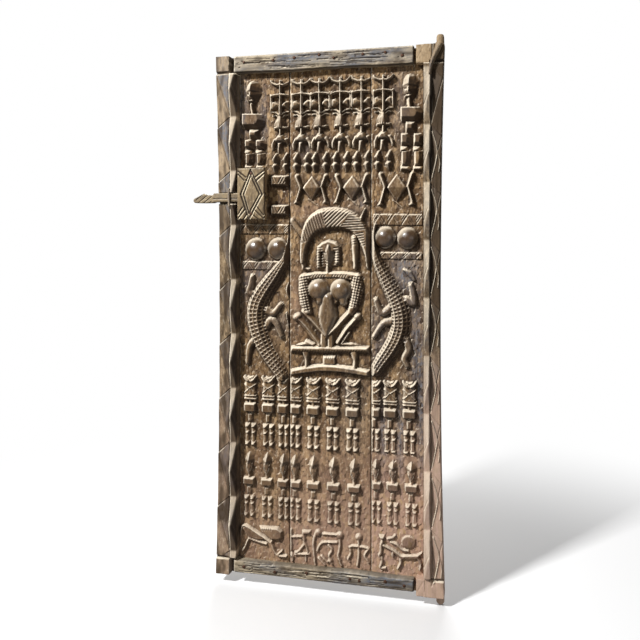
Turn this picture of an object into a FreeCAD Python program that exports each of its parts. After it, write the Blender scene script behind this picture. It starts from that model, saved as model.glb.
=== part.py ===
import FreeCAD, Part
import math
import os

# A carved plank door leaf that turns on two wooden pivots, with a sliding wooden bolt.
# X runs to the viewer's right, the carved face looks along -Y and Z is up.
# The pivots turn about X 0, Y 0, and the leaf's lower edge is at Z 0.

# Leaf
body_height = 2050.0
left_stile_width = 89.0
left_plank_width = 207.0
middle_plank_width = 322.0
right_plank_width = 201.0
right_stile_width = 76.0
axis_to_edge = 16.0
axis_to_back = 20.0
plank_thickness = 26.0
stile_thickness = 60.0
edge_bow = 16.0
seam_gap = 2.4
seam_arris = 3.0
plank_inset = 4.0

# Clearances, and how far a cutter overruns what it cuts
snug_gap = 0.05
run_gap = 0.5
rest_gap = 0.3
overrun = 8.0

# Fins on the stiles, notched along their crests, and the plain block at each stile's end
fin_width = 28.0
fin_height = 28.0
fin_crest_width = 6.0
fin_crest_setback = 2.0
fin_shoulder_height = 6.0
notch_pitch = 214.0
notch_depth = 20.0
right_notch_height = 39.0
end_block_height = 70.0
end_block_width = 57.0
end_groove_width = 8.0
end_groove_depth = 7.0
ear_width = 27.0

# Pivots, one piece with the right stile
lower_pivot_radius = 15.0
lower_pivot_length = 28.0
lower_pivot_dome = 9.0
upper_pivot_radius = 14.5
upper_pivot_length = 32.0
upper_pivot_dome = 11.0
pivot_root_length = 92.0

# Rails across the planks' ends
rail_thickness = 36.0
rail_arris = 5.0
rail_left_lap = 13.0
rail_ear_gap = 9.0
top_rail_height = 66.0
top_rail_inset = 2.0
bottom_rail_height = 47.0
bottom_rail_inset = 13.0
rail_wave = 5.0

# Iron nails and staples
nail_width = 4.6
nail_head_radius = 6.5
nail_head_height = 3.0
nail_head_flat_radius = 2.4
nail_bite = 16.0
lock_nail_length = 54.0
staple_span = 62.0
staple_width = 9.0
staple_thickness = 3.0
staple_leg_thickness = 4.0
staple_leg_length = 18.0

# Lock case, on a land left standing on the left plank
case_width = 110.0
case_height = 199.0
case_depth = 34.0
case_arris = 5.0
land_height = 24.0
chamber_depth = 20.0
case_place_shares = (0.324, 0.752)
case_nail_reach = 78.0

# Bolt and tumblers
bolt_depth = 26.0
bolt_height = 36.0
bolt_right_end = 4.0
bolt_tip_reach = 88.0
bolt_tip_height = 31.0
bolt_tip_drop = 3.0
bolt_shoulder_length = 45.0
bolt_neck_length = 84.0
bolt_to_case_middle = 12.5
tumbler_width = 14.0
tumbler_depth = 19.4
tumbler_height = 50.0
tumbler_pitch = 29.0
tumbler_stroke = 12.0
unthrown_length = 8.0
key_channel_height = 13.0
key_channel_wall = 6.0
key_channel_margin = 6.0

# Relief: how far each kind of form stands out of the ground
dome_rise = 30.0
beast_rise = 26.0
body_rise = 24.0
figure_rise = 20.0
leg_rise = 15.0
line_rise = 10.0
band_rise = 6.0
root_depth = 3.0
chisel_lean_share = 0.22

# Places worked out from the sizes above
ground = axis_to_back - plank_thickness
stile_front = axis_to_back - stile_thickness
fin_crest = stile_front - fin_height
rail_front = ground - rail_thickness
x_right_edge = axis_to_edge
x_right_stile = x_right_edge - right_stile_width
x_right_seam = x_right_stile - right_plank_width
x_left_seam = x_right_seam - middle_plank_width
x_left_stile = x_left_seam - left_plank_width
x_left_edge = x_left_stile - left_stile_width
half_gap = seam_gap / 2
field_low = bottom_rail_inset + bottom_rail_height + rail_wave
field_high = body_height - top_rail_inset - top_rail_height - rail_wave

left_board = (x_left_stile, x_left_seam)
middle_board = (x_left_seam, x_right_seam)
right_board = (x_right_seam, x_right_stile)

land_front = ground - land_height
case_front = land_front - case_depth
bolt_back = land_front - rest_gap
bolt_front = bolt_back - bolt_depth


def vec(x, y, z):
    return FreeCAD.Vector(x, y, z)


def block(x_low, x_high, y_low, y_high, z_low, z_high):
    """A box between two opposite corners."""
    return Part.makeBox(x_high - x_low, y_high - y_low, z_high - z_low, vec(x_low, y_low, z_low))


def place(board, shares):
    """A point of the carved face, from shares of a plank's width and of the height between the rails."""
    low, high = board
    across, up = shares
    return low + across * (high - low), field_low + up * (field_high - field_low)


def route(board, shares):
    return [place(board, pair) for pair in shares]


# The lock's places on the left plank

case_x, case_z = place(left_board, case_place_shares)
case_left = case_x - case_width / 2
case_right = case_x + case_width / 2
bolt_middle = case_z - bolt_to_case_middle
bolt_low = bolt_middle - bolt_height / 2
bolt_high = bolt_middle + bolt_height / 2
tumbler_places = [case_x + number * tumbler_pitch for number in (-1, 0, 1)]
tumbler_low = bolt_high + rest_gap
case_nail_places = [(case_x, case_z - case_nail_reach), (case_x, case_z + case_nail_reach)]


def cut_face(points, y):
    """A flat face at depth y, with straight sides through points of X and Z."""
    corners = [vec(x, y, z) for x, z in points]
    return Part.Face(Part.makePolygon(corners + corners[:1]))


def pushed(face, depth):
    return face.extrude(vec(0, depth, 0))


# Forms of the carving

def raised(place_of, width, height, rise):
    """A block left standing on the ground, its sides leaning in towards its face."""
    x, z = place_of
    half_wide = width / 2
    half_high = height / 2
    lean = min(rise * chisel_lean_share, half_wide / 2, half_high / 2)
    return Part.makeWedge(
        x - half_wide + lean, ground - rise, z - half_high + lean, z - half_high, x - half_wide,
        x + half_wide - lean, ground + root_depth, z + half_high - lean, z + half_high, x + half_wide)


def faceted(corners, faces):
    """A closed solid with flat faces through the numbered corners."""
    sides = [Part.Face(Part.makePolygon([corners[i] for i in face + face[:1]])) for face in faces]
    solid = Part.Solid(Part.makeShell(sides))
    if solid.Volume < 0:
        solid.reverse()
    return solid


# Across the width of a limb, and out from the ground
limb_section_shares = ((-0.5, 0.0), (-0.34, 0.8), (0.0, 1.0), (0.34, 0.8), (0.5, 0.0))


def limb(points, widths, rise, base=None):
    """A hewn bar: the same ridged section, square to its route and swelling with its width."""
    start = ground if base is None else base
    widest = max(widths)
    corners = []
    for number, (x, z) in enumerate(points):
        before = points[max(number - 1, 0)]
        after = points[min(number + 1, len(points) - 1)]
        along = vec(after[0] - before[0], 0, after[1] - before[1]).normalize()
        width = widths[number]
        height = rise * (1 + width / widest) / 2
        for across, out in limb_section_shares:
            depth = start - height * out if out else start + root_depth
            corners.append(vec(x - along.z * across * width, depth, z + along.x * across * width))
    sides = len(limb_section_shares)
    last = len(corners) - sides
    faces = [list(range(sides)), list(range(last, len(corners)))]
    for section in range(0, last, sides):
        for side in range(sides):
            near = section + side
            far = section + (side + 1) % sides
            faces += [[near, far, far + sides], [near, far + sides, near + sides]]
    return faceted(corners, faces)


dome_bands = 4


def dome(centre, radius, rise):
    """A cap of a ball, cut in bands and standing out of the ground by its rise."""
    x, z = centre
    ball = (radius ** 2 + rise ** 2) / (2 * rise)
    whole_angle = math.asin(min(radius / ball, 1))
    root = vec(x, ground + root_depth, z)
    points = [root, vec(x + radius, ground + root_depth, z)]
    for band in range(dome_bands, -1, -1):
        angle = whole_angle * band / dome_bands
        points.append(vec(x + ball * math.sin(angle), ground - rise + ball * (1 - math.cos(angle)), z))
    return Part.Face(Part.makePolygon(points + points[:1])).revolve(root, vec(0, 1, 0), 360)


def lozenge(centre, half_wide, half_high, rise):
    """A diamond of two facets that meet in a level crease across it."""
    x, z = centre
    root = ground + root_depth
    crest = ground - rise
    corners = [vec(x - half_wide, root, z), vec(x, root, z + half_high), vec(x + half_wide, root, z),
               vec(x, root, z - half_high), vec(x - half_wide, crest, z), vec(x + half_wide, crest, z)]
    return faceted(corners, [[0, 1, 2, 3], [4, 5, 1], [5, 4, 3], [0, 4, 1], [0, 3, 4], [2, 1, 5], [2, 5, 3]])


# Masked dancers, from the feet up: shares of a dancer's height, and of the pitch between two

dancer_height = 372.0
dancer_pitch = 77.0
dancer_top_gap = 11.0
dancer_bar_shares = ((0.927, 0.30), (0.817, 0.27))
dancer_post_shares = (0.60, 1.0)
dancer_post_width = 8.0
dancer_bar_width = 12.0
dancer_vee_shares = (0.67, 0.60)
dancer_mask_shares = (0.45, 0.59, 0.36)
dancer_arm_shares = ((-0.42, 0.29), (-0.33, 0.37), (0.0, 0.41), (0.33, 0.37), (0.42, 0.29))
dancer_arm_width = 16.0
dancer_torso_shares = (0.20, 0.38, 0.24)
dancer_leg_shares = (0.0, 0.19, 0.22, 0.17)


def dancer(board, x_share):
    x = place(board, (x_share, 0))[0]
    foot = field_high - dancer_top_gap - dancer_height

    def at(across, up):
        return x + across * dancer_pitch, foot + up * dancer_height

    def upright(across, low, high, width, rise):
        middle = at(across, (low + high) / 2)
        return raised(middle, width, (high - low) * dancer_height, rise)

    low, high = dancer_post_shares
    forms = [upright(0, low, high, dancer_post_width, figure_rise)]
    for up, reach in dancer_bar_shares:
        forms.append(raised(at(0, up), 2 * reach * dancer_pitch, dancer_bar_width, figure_rise))
    top, bottom = dancer_vee_shares
    reach = dancer_bar_shares[0][1]
    for side in (-1, 1):
        arm = [at(side * reach, bottom), at(side * reach / 3, top)]
        forms.append(limb(arm, [dancer_bar_width] * 2, figure_rise))
    low, high, wide = dancer_mask_shares
    forms.append(upright(0, low, high, wide * dancer_pitch, figure_rise))
    arms = [at(across, up) for across, up in dancer_arm_shares]
    forms.append(limb(arms, [dancer_arm_width] * len(arms), figure_rise))
    low, high, wide = dancer_torso_shares
    forms.append(upright(0, low, high, wide * dancer_pitch, figure_rise))
    low, high, wide, apart = dancer_leg_shares
    for side in (-1, 1):
        forms.append(upright(side * apart, low, high, wide * dancer_pitch, leg_rise))
    return forms


# Figures of the two rows, from the feet up: low and high shares of the figure's height, and widths

row_figure_height = 268.0
row_figure_width = 50.0
row_foot_shares = (0.0, 0.07)
row_calf_shares = (0.085, 0.245)
row_thigh_shares = (0.26, 0.345)
row_torso_shares = (0.37, 0.50)
row_chest_shares = (0.505, 0.64)
row_head_shares = (0.73, 1.0)
leg_apart_share = 0.25
leg_width_share = 0.40
torso_width_share = 0.46
mask_width_share = 0.92
almond_width_share = 0.70
horn_width = 9.0


def row_figure(board, x_share, foot_share, masked):
    """A small standing figure: legs in three blocks, body, square chest and a mask or an almond head."""
    x, foot = place(board, (x_share, foot_share))

    def part_of(levels, across, width, rise):
        low, high = levels
        middle = (x + across, foot + (low + high) / 2 * row_figure_height)
        return raised(middle, width, (high - low) * row_figure_height, rise)

    forms = []
    for side in (-1, 1):
        across = side * leg_apart_share * row_figure_width
        wide = leg_width_share * row_figure_width
        forms.append(part_of(row_foot_shares, across, wide, leg_rise))
        forms.append(part_of(row_calf_shares, across, wide, line_rise))
        forms.append(part_of(row_thigh_shares, across, wide, leg_rise))
    forms.append(part_of(row_torso_shares, 0, torso_width_share * row_figure_width, line_rise))
    forms.append(part_of(row_chest_shares, 0, row_figure_width, figure_rise))
    low, high = row_head_shares
    if masked:
        forms.append(part_of((low, high), 0, mask_width_share * row_figure_width, figure_rise))
    else:
        levels = [low, low + (high - low) / 3, high - (high - low) / 3, high]
        wide = almond_width_share * row_figure_width
        widths = [wide / 3, wide, wide, wide / 4]
        points = [(x, foot + level * row_figure_height) for level in levels]
        forms.append(limb(points, widths, figure_rise))
    return forms


# Tall figures in the two upper corners, drawn on their own height from the feet up

tall_figure_height = 345.0
tall_head_shares = ((0.68, 12.0), (0.76, 30.0), (0.86, 46.0), (0.96, 42.0), (1.0, 22.0))
tall_neck_shares = (0.62, 0.72)
tall_chest_shares = (0.525, 0.625)
tall_waist_shares = (0.37, 0.54)
tall_leg_shares = ((0.30, 0.37), (0.36, 0.24), (0.22, 0.14), (0.34, 0.0))
tall_neck_width = 22.0
tall_chest_width = 64.0
tall_waist_width = 30.0
tall_leg_widths = (24.0, 30.0, 22.0, 26.0)


def tall_figure(board, x_share, top_gap):
    x = place(board, (x_share, 0))[0]
    foot = field_high - top_gap - tall_figure_height

    def up(share):
        return foot + share * tall_figure_height

    def upright(levels, width, rise):
        low, high = levels
        return raised((x, up((low + high) / 2)), width, (high - low) * tall_figure_height, rise)

    # The head's outline is the one place where widths stand beside shares of the height
    head = limb([(x, up(share)) for share, _ in tall_head_shares], [width for _, width in tall_head_shares],
                body_rise)
    forms = [head,
             upright(tall_neck_shares, tall_neck_width, figure_rise),
             upright(tall_chest_shares, tall_chest_width, body_rise),
             upright(tall_waist_shares, tall_waist_width, figure_rise)]
    for side in (-1, 1):
        points = [(x + side * across * tall_chest_width, up(level)) for across, level in tall_leg_shares]
        forms.append(limb(points, tall_leg_widths, figure_rise))
    return forms


# Beasts: a spine with its widths, and four legs

beast_width = 70.0
leg_width = 22.0
beast_width_shares = (0.14, 0.20, 0.30, 0.55, 0.80, 0.97, 1.0, 1.0, 0.97, 0.92, 0.84, 0.70)
leg_taper_shares = (1.0, 1.0, 0.85, 0.7)
left_spine_shares = ((0.97, 0.665), (0.97, 0.631), (0.90, 0.609), (0.69, 0.580), (0.52, 0.553), (0.42, 0.528),
                     (0.37, 0.503), (0.37, 0.478), (0.42, 0.452), (0.53, 0.429), (0.66, 0.410), (0.77, 0.392))
left_leg_shares = (
    ((0.30, 0.524), (0.18, 0.538), (0.28, 0.578)),
    ((0.50, 0.499), (0.71, 0.500), (0.87, 0.526)),
    ((0.50, 0.470), (0.72, 0.488), (0.81, 0.473), (0.85, 0.457)),
    ((0.36, 0.455), (0.21, 0.430), (0.19, 0.403)))
right_spine_shares = ((0.14, 0.690), (0.07, 0.666), (0.07, 0.634), (0.15, 0.606), (0.29, 0.579), (0.47, 0.556),
                      (0.56, 0.532), (0.60, 0.509), (0.57, 0.481), (0.44, 0.455), (0.29, 0.430), (0.13, 0.400))
right_leg_shares = (
    ((0.60, 0.534), (0.86, 0.536), (0.82, 0.566), (0.62, 0.602)),
    ((0.48, 0.527), (0.23, 0.511), (0.10, 0.538)),
    ((0.48, 0.498), (0.23, 0.494), (0.08, 0.468)),
    ((0.60, 0.466), (0.73, 0.445), (0.66, 0.425), (0.71, 0.412)))


def beast(board, spine_shares, legs_shares):
    widths = [share * beast_width for share in beast_width_shares]
    forms = [limb(route(board, spine_shares), widths, beast_rise)]
    for leg_shares in legs_shares:
        taper = [leg_width * share for share in leg_taper_shares[:len(leg_shares)]]
        forms.append(limb(route(board, leg_shares), taper, leg_rise))
    return forms


def band(board, low_shares, high_shares, rise):
    """A low strip between two opposite corners."""
    x_low, z_low = place(board, low_shares)
    x_high, z_high = place(board, high_shares)
    return raised(((x_low + x_high) / 2, (z_low + z_high) / 2), x_high - x_low, z_high - z_low, rise)


# Left plank

left_dome_radius = 42.0
left_dome_shares = ((0.33, 0.637), (0.77, 0.642))
left_band_shares = (((0.0, 0.667), (1.0, 0.695)), ((0.05, 0.594), (0.83, 0.615)))
stop_block_shares = (((0.65, 0.771), (0.99, 0.793)), ((0.65, 0.711), (0.99, 0.731)))
left_tall_share = 0.28
left_tall_gap = 22.0
crescent_shares = (((0.97, 0.585), (0.94, 0.556), (0.97, 0.526)), ((0.93, 0.509), (0.955, 0.465), (0.955, 0.421)))
crescent_width = 15.0
left_strip_shares = ((0.06, 0.064), (0.39, 0.048), (0.68, 0.030), (0.92, 0.009))
left_blob_shares = ((0.42, 0.064), (0.60, 0.058), (0.80, 0.053))
strip_width = 12.0
blob_width = 26.0


def left_plank_relief():
    forms = [dome(place(left_board, shares), left_dome_radius, dome_rise) for shares in left_dome_shares]
    forms += [band(left_board, low, high, band_rise) for low, high in left_band_shares]
    forms += [band(left_board, low, high, body_rise) for low, high in stop_block_shares]
    forms += tall_figure(left_board, left_tall_share, left_tall_gap)
    forms += beast(left_board, left_spine_shares, left_leg_shares)
    for shares in crescent_shares:
        forms.append(limb(route(left_board, shares), [crescent_width / 2, crescent_width, crescent_width / 2],
                          line_rise))
    forms.append(limb(route(left_board, left_strip_shares), [strip_width] * len(left_strip_shares), line_rise))
    blob = [blob_width / 2, blob_width, blob_width]
    forms.append(limb(route(left_board, left_blob_shares), blob, line_rise))
    return forms


# Middle plank

lozenge_half_width = 38.0
lozenge_half_height = 50.0
middle_lozenge_shares = ((0.28, 0.762), (0.77, 0.762))
lozenge_leg_reach = 59.0
lozenge_leg_bend = 16.0
lozenge_leg_width = 12.0
arch_shares = ((0.18, 0.601), (0.17, 0.637), (0.21, 0.664), (0.28, 0.686), (0.37, 0.697), (0.48, 0.702),
               (0.61, 0.701), (0.72, 0.692), (0.80, 0.677), (0.86, 0.655), (0.90, 0.629), (0.91, 0.603))
arch_widths = (15.0, 22.0, 38.0, 56.0, 72.0, 82.0, 84.0, 78.0, 64.0, 46.0, 24.0, 16.0)
arch_leg_shares = ((0.81, 0.658), (0.81, 0.603))
horn_shares = (((0.04, 0.697), (0.10, 0.682), (0.18, 0.663)), ((0.94, 0.722), (0.885, 0.694), (0.90, 0.663)))
seated_head_shares = ((0.49, 0.609), (0.49, 0.622), (0.49, 0.639), (0.50, 0.659))
seated_head_widths = (24.0, 50.0, 58.0, 22.0)
hair_shares = (((0.37, 0.603), (0.37, 0.644)), ((0.62, 0.603), (0.62, 0.646)))
hair_width = 22.0
seated_neck_shares = ((0.50, 0.586), (0.50, 0.614))
seated_neck_width = 26.0
seated_trunk_shares = ((0.50, 0.582), (0.50, 0.550), (0.495, 0.526), (0.485, 0.497), (0.475, 0.462))
seated_trunk_widths = (150.0, 120.0, 78.0, 80.0, 18.0)
shoulder_shares = ((0.13, 0.585), (0.50, 0.589), (0.88, 0.585))
shoulder_width = 26.0
seated_breast_shares = (((0.36, 0.579), (0.37, 0.558), (0.385, 0.541), (0.40, 0.524)),
                        ((0.64, 0.579), (0.63, 0.558), (0.65, 0.541), (0.68, 0.521)))
seated_breast_widths = (46.0, 66.0, 58.0, 20.0)
arm_shares = (((0.17, 0.586), (0.18, 0.549), (0.23, 0.510)), ((0.83, 0.586), (0.83, 0.551), (0.78, 0.512)))
arm_widths = (36.0, 40.0, 28.0)
forearm_shares = (((0.22, 0.511), (0.46, 0.460)), ((0.78, 0.515), (0.50, 0.460)))
forearm_width = 24.0
thigh_shares = (((0.08, 0.509), (0.34, 0.445)), ((0.87, 0.511), (0.61, 0.448)))
thigh_width = 30.0
stool_seat_shares = ((0.015, 0.427), (0.985, 0.444))
stool_block_shares = ((0.42, 0.407), (0.59, 0.422))
stool_foot_shares = (((0.18, 0.400), (0.25, 0.428)), ((0.77, 0.402), (0.84, 0.430)))
stool_base_shares = ((0.03, 0.390), (0.25, 0.396), (0.50, 0.398), (0.75, 0.398), (0.98, 0.395))
stool_base_width = 20.0


def lozenge_group(board, centre_shares):
    """A two-facet diamond between two legs that bend in to its side corners."""
    x, z = place(board, centre_shares)
    forms = [lozenge((x, z), lozenge_half_width, lozenge_half_height, body_rise)]
    for side in (-1, 1):
        outer = x + side * lozenge_leg_reach
        inner = outer - side * lozenge_leg_bend
        points = [(outer, z + lozenge_half_height), (inner, z), (outer, z - lozenge_half_height)]
        forms.append(limb(points, [lozenge_leg_width] * len(points), leg_rise))
    return forms


def seated_figure():
    board = middle_board
    forms = [limb(route(board, seated_head_shares), seated_head_widths, dome_rise),
             limb(route(board, seated_neck_shares), [seated_neck_width] * 2, figure_rise),
             limb(route(board, seated_trunk_shares), seated_trunk_widths, leg_rise)]
    forms += [limb(route(board, shares), [hair_width] * 2, figure_rise) for shares in hair_shares]
    forms.append(limb(route(board, shoulder_shares), [shoulder_width] * len(shoulder_shares), figure_rise))
    forms += [limb(route(board, shares), seated_breast_widths, dome_rise) for shares in seated_breast_shares]
    forms += [limb(route(board, shares), arm_widths, body_rise) for shares in arm_shares]
    forms += [limb(route(board, shares), [forearm_width] * 2, body_rise) for shares in forearm_shares]
    forms += [limb(route(board, shares), [thigh_width] * 2, figure_rise) for shares in thigh_shares]
    return forms


def stool():
    board = middle_board
    forms = [band(board, *stool_seat_shares, body_rise), band(board, *stool_block_shares, line_rise)]
    forms += [band(board, low, high, leg_rise) for low, high in stool_foot_shares]
    base_widths = [stool_base_width] * len(stool_base_shares)
    forms.append(limb(route(board, stool_base_shares), base_widths, figure_rise))
    return forms


def middle_plank_relief():
    forms = []
    for shares in middle_lozenge_shares:
        forms += lozenge_group(middle_board, shares)
    forms.append(limb(route(middle_board, arch_shares), arch_widths, body_rise))
    forms.append(limb(route(middle_board, arch_leg_shares), [arch_widths[0]] * 2, leg_rise))
    for shares in horn_shares:
        forms.append(limb(route(middle_board, shares), [strip_width / 2, strip_width, strip_width], line_rise))
    forms += seated_figure()
    forms += stool()
    for shares in small_person_shares:
        forms += small_person(middle_board, shares)
    return forms


# Right plank

right_dome_radius = 42.0
right_dome_shares = ((0.29, 0.662), (0.71, 0.661))
right_band_shares = (((0.14, 0.687), (0.98, 0.710)), ((0.14, 0.619), (0.98, 0.636)))
right_tall_share = 0.72
right_tall_gap = 32.0
right_lozenge_shares = (0.49, 0.759)
disc_shares = (0.71, 0.062)
disc_radius = 26.0
dog_shares = ((0.26, 0.051), (0.43, 0.041), (0.56, 0.032), (0.88, 0.034))
dog_leg_shares = (((0.57, 0.032), (0.52, 0.008)), ((0.86, 0.034), (0.94, 0.021), (0.91, 0.009)))
keeper_shares = ((0.20, 0.066), (0.20, 0.049), (0.19, 0.030), (0.22, 0.021), (0.18, 0.008))


def right_plank_relief():
    forms = [dome(place(right_board, shares), right_dome_radius, dome_rise) for shares in right_dome_shares]
    forms += [band(right_board, low, high, band_rise) for low, high in right_band_shares]
    forms += tall_figure(right_board, right_tall_share, right_tall_gap)
    forms += lozenge_group(right_board, right_lozenge_shares)
    forms += beast(right_board, right_spine_shares, right_leg_shares)
    forms.append(dome(place(right_board, disc_shares), disc_radius, line_rise))
    for shares in (dog_shares, keeper_shares) + dog_leg_shares:
        forms.append(limb(route(right_board, shares), [strip_width] * len(shares), line_rise))
    return forms


# Small people of the bottom row, drawn on their own height

small_person_height = 118.0
small_person_shares = ((0.18, 0.004), (0.36, 0.004), (0.62, 0.001), (0.86, 0.002))
small_head_width = 24.0
small_arm_shares = ((-0.40, 0.42), (-0.32, 0.62), (-0.15, 0.70), (0.15, 0.70), (0.32, 0.62),
                    (0.40, 0.42))


def small_person(board, foot_shares):
    x, foot = place(board, foot_shares)
    trunk = [(x, foot), (x, foot + small_person_height)]
    arms = [(x + across * small_person_height, foot + up * small_person_height)
            for across, up in small_arm_shares]
    return [limb(trunk, [strip_width] * 2, line_rise),
            limb(arms, [strip_width] * len(arms), line_rise),
            raised(trunk[1], small_head_width, small_head_width, line_rise)]


# What runs in rows across all three planks, by plank

dancer_row_shares = {left_board: (0.84,), middle_board: (0.16, 0.40, 0.64, 0.90), right_board: (0.22,)}
mask_row_shares = {left_board: (0.23, 0.59, 0.90), middle_board: (0.07, 0.30, 0.54, 0.78),
                   right_board: (0.07, 0.37, 0.73)}
almond_row_shares = {left_board: (0.21, 0.56, 0.89), middle_board: (0.07, 0.30, 0.55, 0.80),
                     right_board: (0.10, 0.43, 0.78)}
mask_foot_shares = {left_board: 0.231, middle_board: 0.232, right_board: 0.236}
almond_foot_shares = {left_board: 0.084, middle_board: 0.084, right_board: 0.092}


def rows_on(board):
    forms = []
    for across in dancer_row_shares[board]:
        forms += dancer(board, across)
    for across in mask_row_shares[board]:
        forms += row_figure(board, across, mask_foot_shares[board], True)
    for across in almond_row_shares[board]:
        forms += row_figure(board, across, almond_foot_shares[board], False)
    return forms


# Timbers

def plank(board, relief):
    """A board with eased seams, its carving trimmed to its own edges and fused to it."""
    x_low = board[0] + half_gap
    x_high = board[1] - half_gap
    z_low = plank_inset
    z_high = body_height - plank_inset
    outline = [(x_low, axis_to_back), (x_low, ground + seam_arris), (x_low + seam_arris, ground),
               (x_high - seam_arris, ground), (x_high, ground + seam_arris), (x_high, axis_to_back)]
    corners = [vec(x, y, z_low) for x, y in outline]
    board_solid = Part.Face(Part.makePolygon(corners + corners[:1])).extrude(vec(0, 0, z_high - z_low))
    room = block(x_low, x_high, ground - land_height - case_depth, axis_to_back, z_low, z_high)
    return board_solid.fuse(relief).common(room).removeSplitter()


def bowed_board(x_inner, x_outer, bow, y_front):
    """A full-height timber with a straight inner edge and an outer edge that bows inwards."""
    bottom_inner = vec(x_inner, y_front, 0)
    top_inner = vec(x_inner, y_front, body_height)
    top_outer = vec(x_outer, y_front, body_height)
    bottom_outer = vec(x_outer, y_front, 0)
    middle_outer = vec(x_outer + bow, y_front, body_height / 2)
    edges = [Part.makeLine(bottom_inner, top_inner), Part.makeLine(top_inner, top_outer),
             Part.Arc(top_outer, middle_outer, bottom_outer).toShape(), Part.makeLine(bottom_outer, bottom_inner)]
    return pushed(Part.Face(Part.Wire(edges)), axis_to_back - y_front)


def notched_fin(x_foot, towards, a_notch):
    """A fin along the stile, with even V notches across its crest, one of them at the given height."""
    section = [(0, 0), (fin_crest_setback, fin_height), (fin_crest_setback + fin_crest_width, fin_height),
               (fin_width, fin_shoulder_height), (fin_width, 0)]
    corners = [vec(x_foot + towards * across, stile_front + root_depth if not out else stile_front - out,
                   end_block_height) for across, out in section]
    length = body_height - 2 * end_block_height
    fin = Part.Face(Part.makePolygon(corners + corners[:1])).extrude(vec(0, 0, length))
    notches = []
    floor = fin_crest + notch_depth
    over = overrun * notch_depth / (notch_pitch / 2)
    count = math.ceil(body_height / notch_pitch) + 1
    for number in range(count):
        z = a_notch % notch_pitch + number * notch_pitch
        half = notch_pitch / 2 + overrun
        corners = [vec(x_foot - towards * overrun, floor, z),
                   vec(x_foot - towards * overrun, fin_crest - over, z + half),
                   vec(x_foot - towards * overrun, fin_crest - over, z - half)]
        cutter = Part.Face(Part.makePolygon(corners + corners[:1]))
        notches.append(cutter.extrude(vec(towards * (fin_width + 2 * overrun), 0, 0)))
    return fin.cut(notches)


def end_grooves(x_low, x_high):
    """The sunk line that sets off the plain block at each end of a stile."""
    cuts = []
    for z in (end_block_height - end_groove_width, body_height - end_block_height):
        cuts.append(block(x_low, x_high, stile_front - overrun, stile_front + end_groove_depth,
                          z, z + end_groove_width))
    return cuts


def left_stile():
    x_inner = x_left_stile - half_gap
    stile = bowed_board(x_inner, x_left_edge, edge_bow, stile_front)
    x_foot = x_inner - fin_width
    stile = stile.fuse(notched_fin(x_foot, 1, bolt_middle - notch_pitch / 2))
    x_end = x_left_edge + end_block_width
    laps = []
    for z_low, z_high in ((-overrun, end_block_height), (body_height - end_block_height, body_height + overrun)):
        laps.append(block(x_end, x_inner + overrun, fin_crest - overrun, ground, z_low, z_high))
    slot = block(x_left_edge - overrun, x_inner + overrun, bolt_front - run_gap, land_front + run_gap,
                 bolt_low - bolt_tip_drop - run_gap, bolt_high + run_gap)
    return stile.cut(laps + [slot] + end_grooves(x_left_edge - overrun, x_end + overrun))


# Shares of the radius and of the dome's height, round the end of a pivot
pivot_end_shares = ((1.0, 0.0), (0.86, 0.60), (0.45, 1.0), (0.0, 1.0))


def pivot(z, up, radius, length, dome_height):
    """A turned peg with a rounded end, on the leaf's turning axis."""
    points = [vec(0, 0, z - up * root_depth), vec(radius, 0, z - up * root_depth)]
    for out, along in pivot_end_shares:
        points.append(vec(out * radius, 0, z + up * (length + along * dome_height)))
    return Part.Face(Part.makePolygon(points + points[:1])).revolve(vec(0, 0, 0), vec(0, 0, 1), 360)


def right_stile():
    x_inner = x_right_stile + half_gap
    stile = bowed_board(x_inner, x_right_edge, -edge_bow, stile_front)
    forms = [notched_fin(x_inner + fin_width, -1, right_notch_height),
             pivot(0, -1, lower_pivot_radius, lower_pivot_length, lower_pivot_dome),
             pivot(body_height, 1, upper_pivot_radius, upper_pivot_length, upper_pivot_dome)]
    for z in (0, body_height - end_block_height):
        forms.append(block(x_right_stile - ear_width, x_inner + overrun, stile_front, ground,
                           z, z + end_block_height))
    crest_x = x_inner + fin_width - fin_crest_setback - fin_crest_width / 2
    flow = [(crest_x / 12, body_height - pivot_root_length / 12), (crest_x / 3, body_height - pivot_root_length / 3),
            (crest_x, body_height - pivot_root_length)]
    widths = [2 * upper_pivot_radius, fin_width, fin_crest_width]
    forms.append(limb(flow, widths, fin_height, stile_front))
    stile = stile.fuse(forms)
    return stile.cut(end_grooves(x_inner + fin_width, x_right_edge + overrun))


# Shares of the rail's length and of its wave, at the corners of the hewn edge that faces the carving
hewn_edge_shares = ((0.0, -0.2), (0.17, 0.6), (0.36, -0.6), (0.55, 0.7), (0.78, -0.9), (1.0, 0.3))


def rail(z_low, z_high, hewn_up):
    """A batten with one straight and one hewn edge, eased round its face."""
    x_low = x_left_stile - rail_left_lap
    x_high = x_right_stile - ear_width - rail_ear_gap
    straight = z_low if hewn_up else z_high
    hewn = z_high if hewn_up else z_low
    outline = [(x_low + along * (x_high - x_low), hewn + wave * rail_wave) for along, wave in hewn_edge_shares]
    outline += [(x_high, straight), (x_low, straight)]
    solid = pushed(cut_face(outline, ground), -rail_thickness)
    face_edges = [edge for edge in solid.Edges
                  if all(abs(vertex.Y - rail_front) < snug_gap for vertex in edge.Vertexes)]
    return solid.makeChamfer(rail_arris, face_edges)


# Nails and staples

top_nail_shares = ((0.06, 0.60), (0.23, 0.62), (0.35, 0.69), (0.49, 0.78), (0.57, 0.55), (0.73, 0.66),
                   (0.85, 0.69), (0.94, 0.45))
bottom_nail_shares = ((0.06, 0.55), (0.24, 0.40), (0.42, 0.60), (0.66, 0.52), (0.71, 0.46), (0.85, 0.62),
                      (0.95, 0.45))


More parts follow.
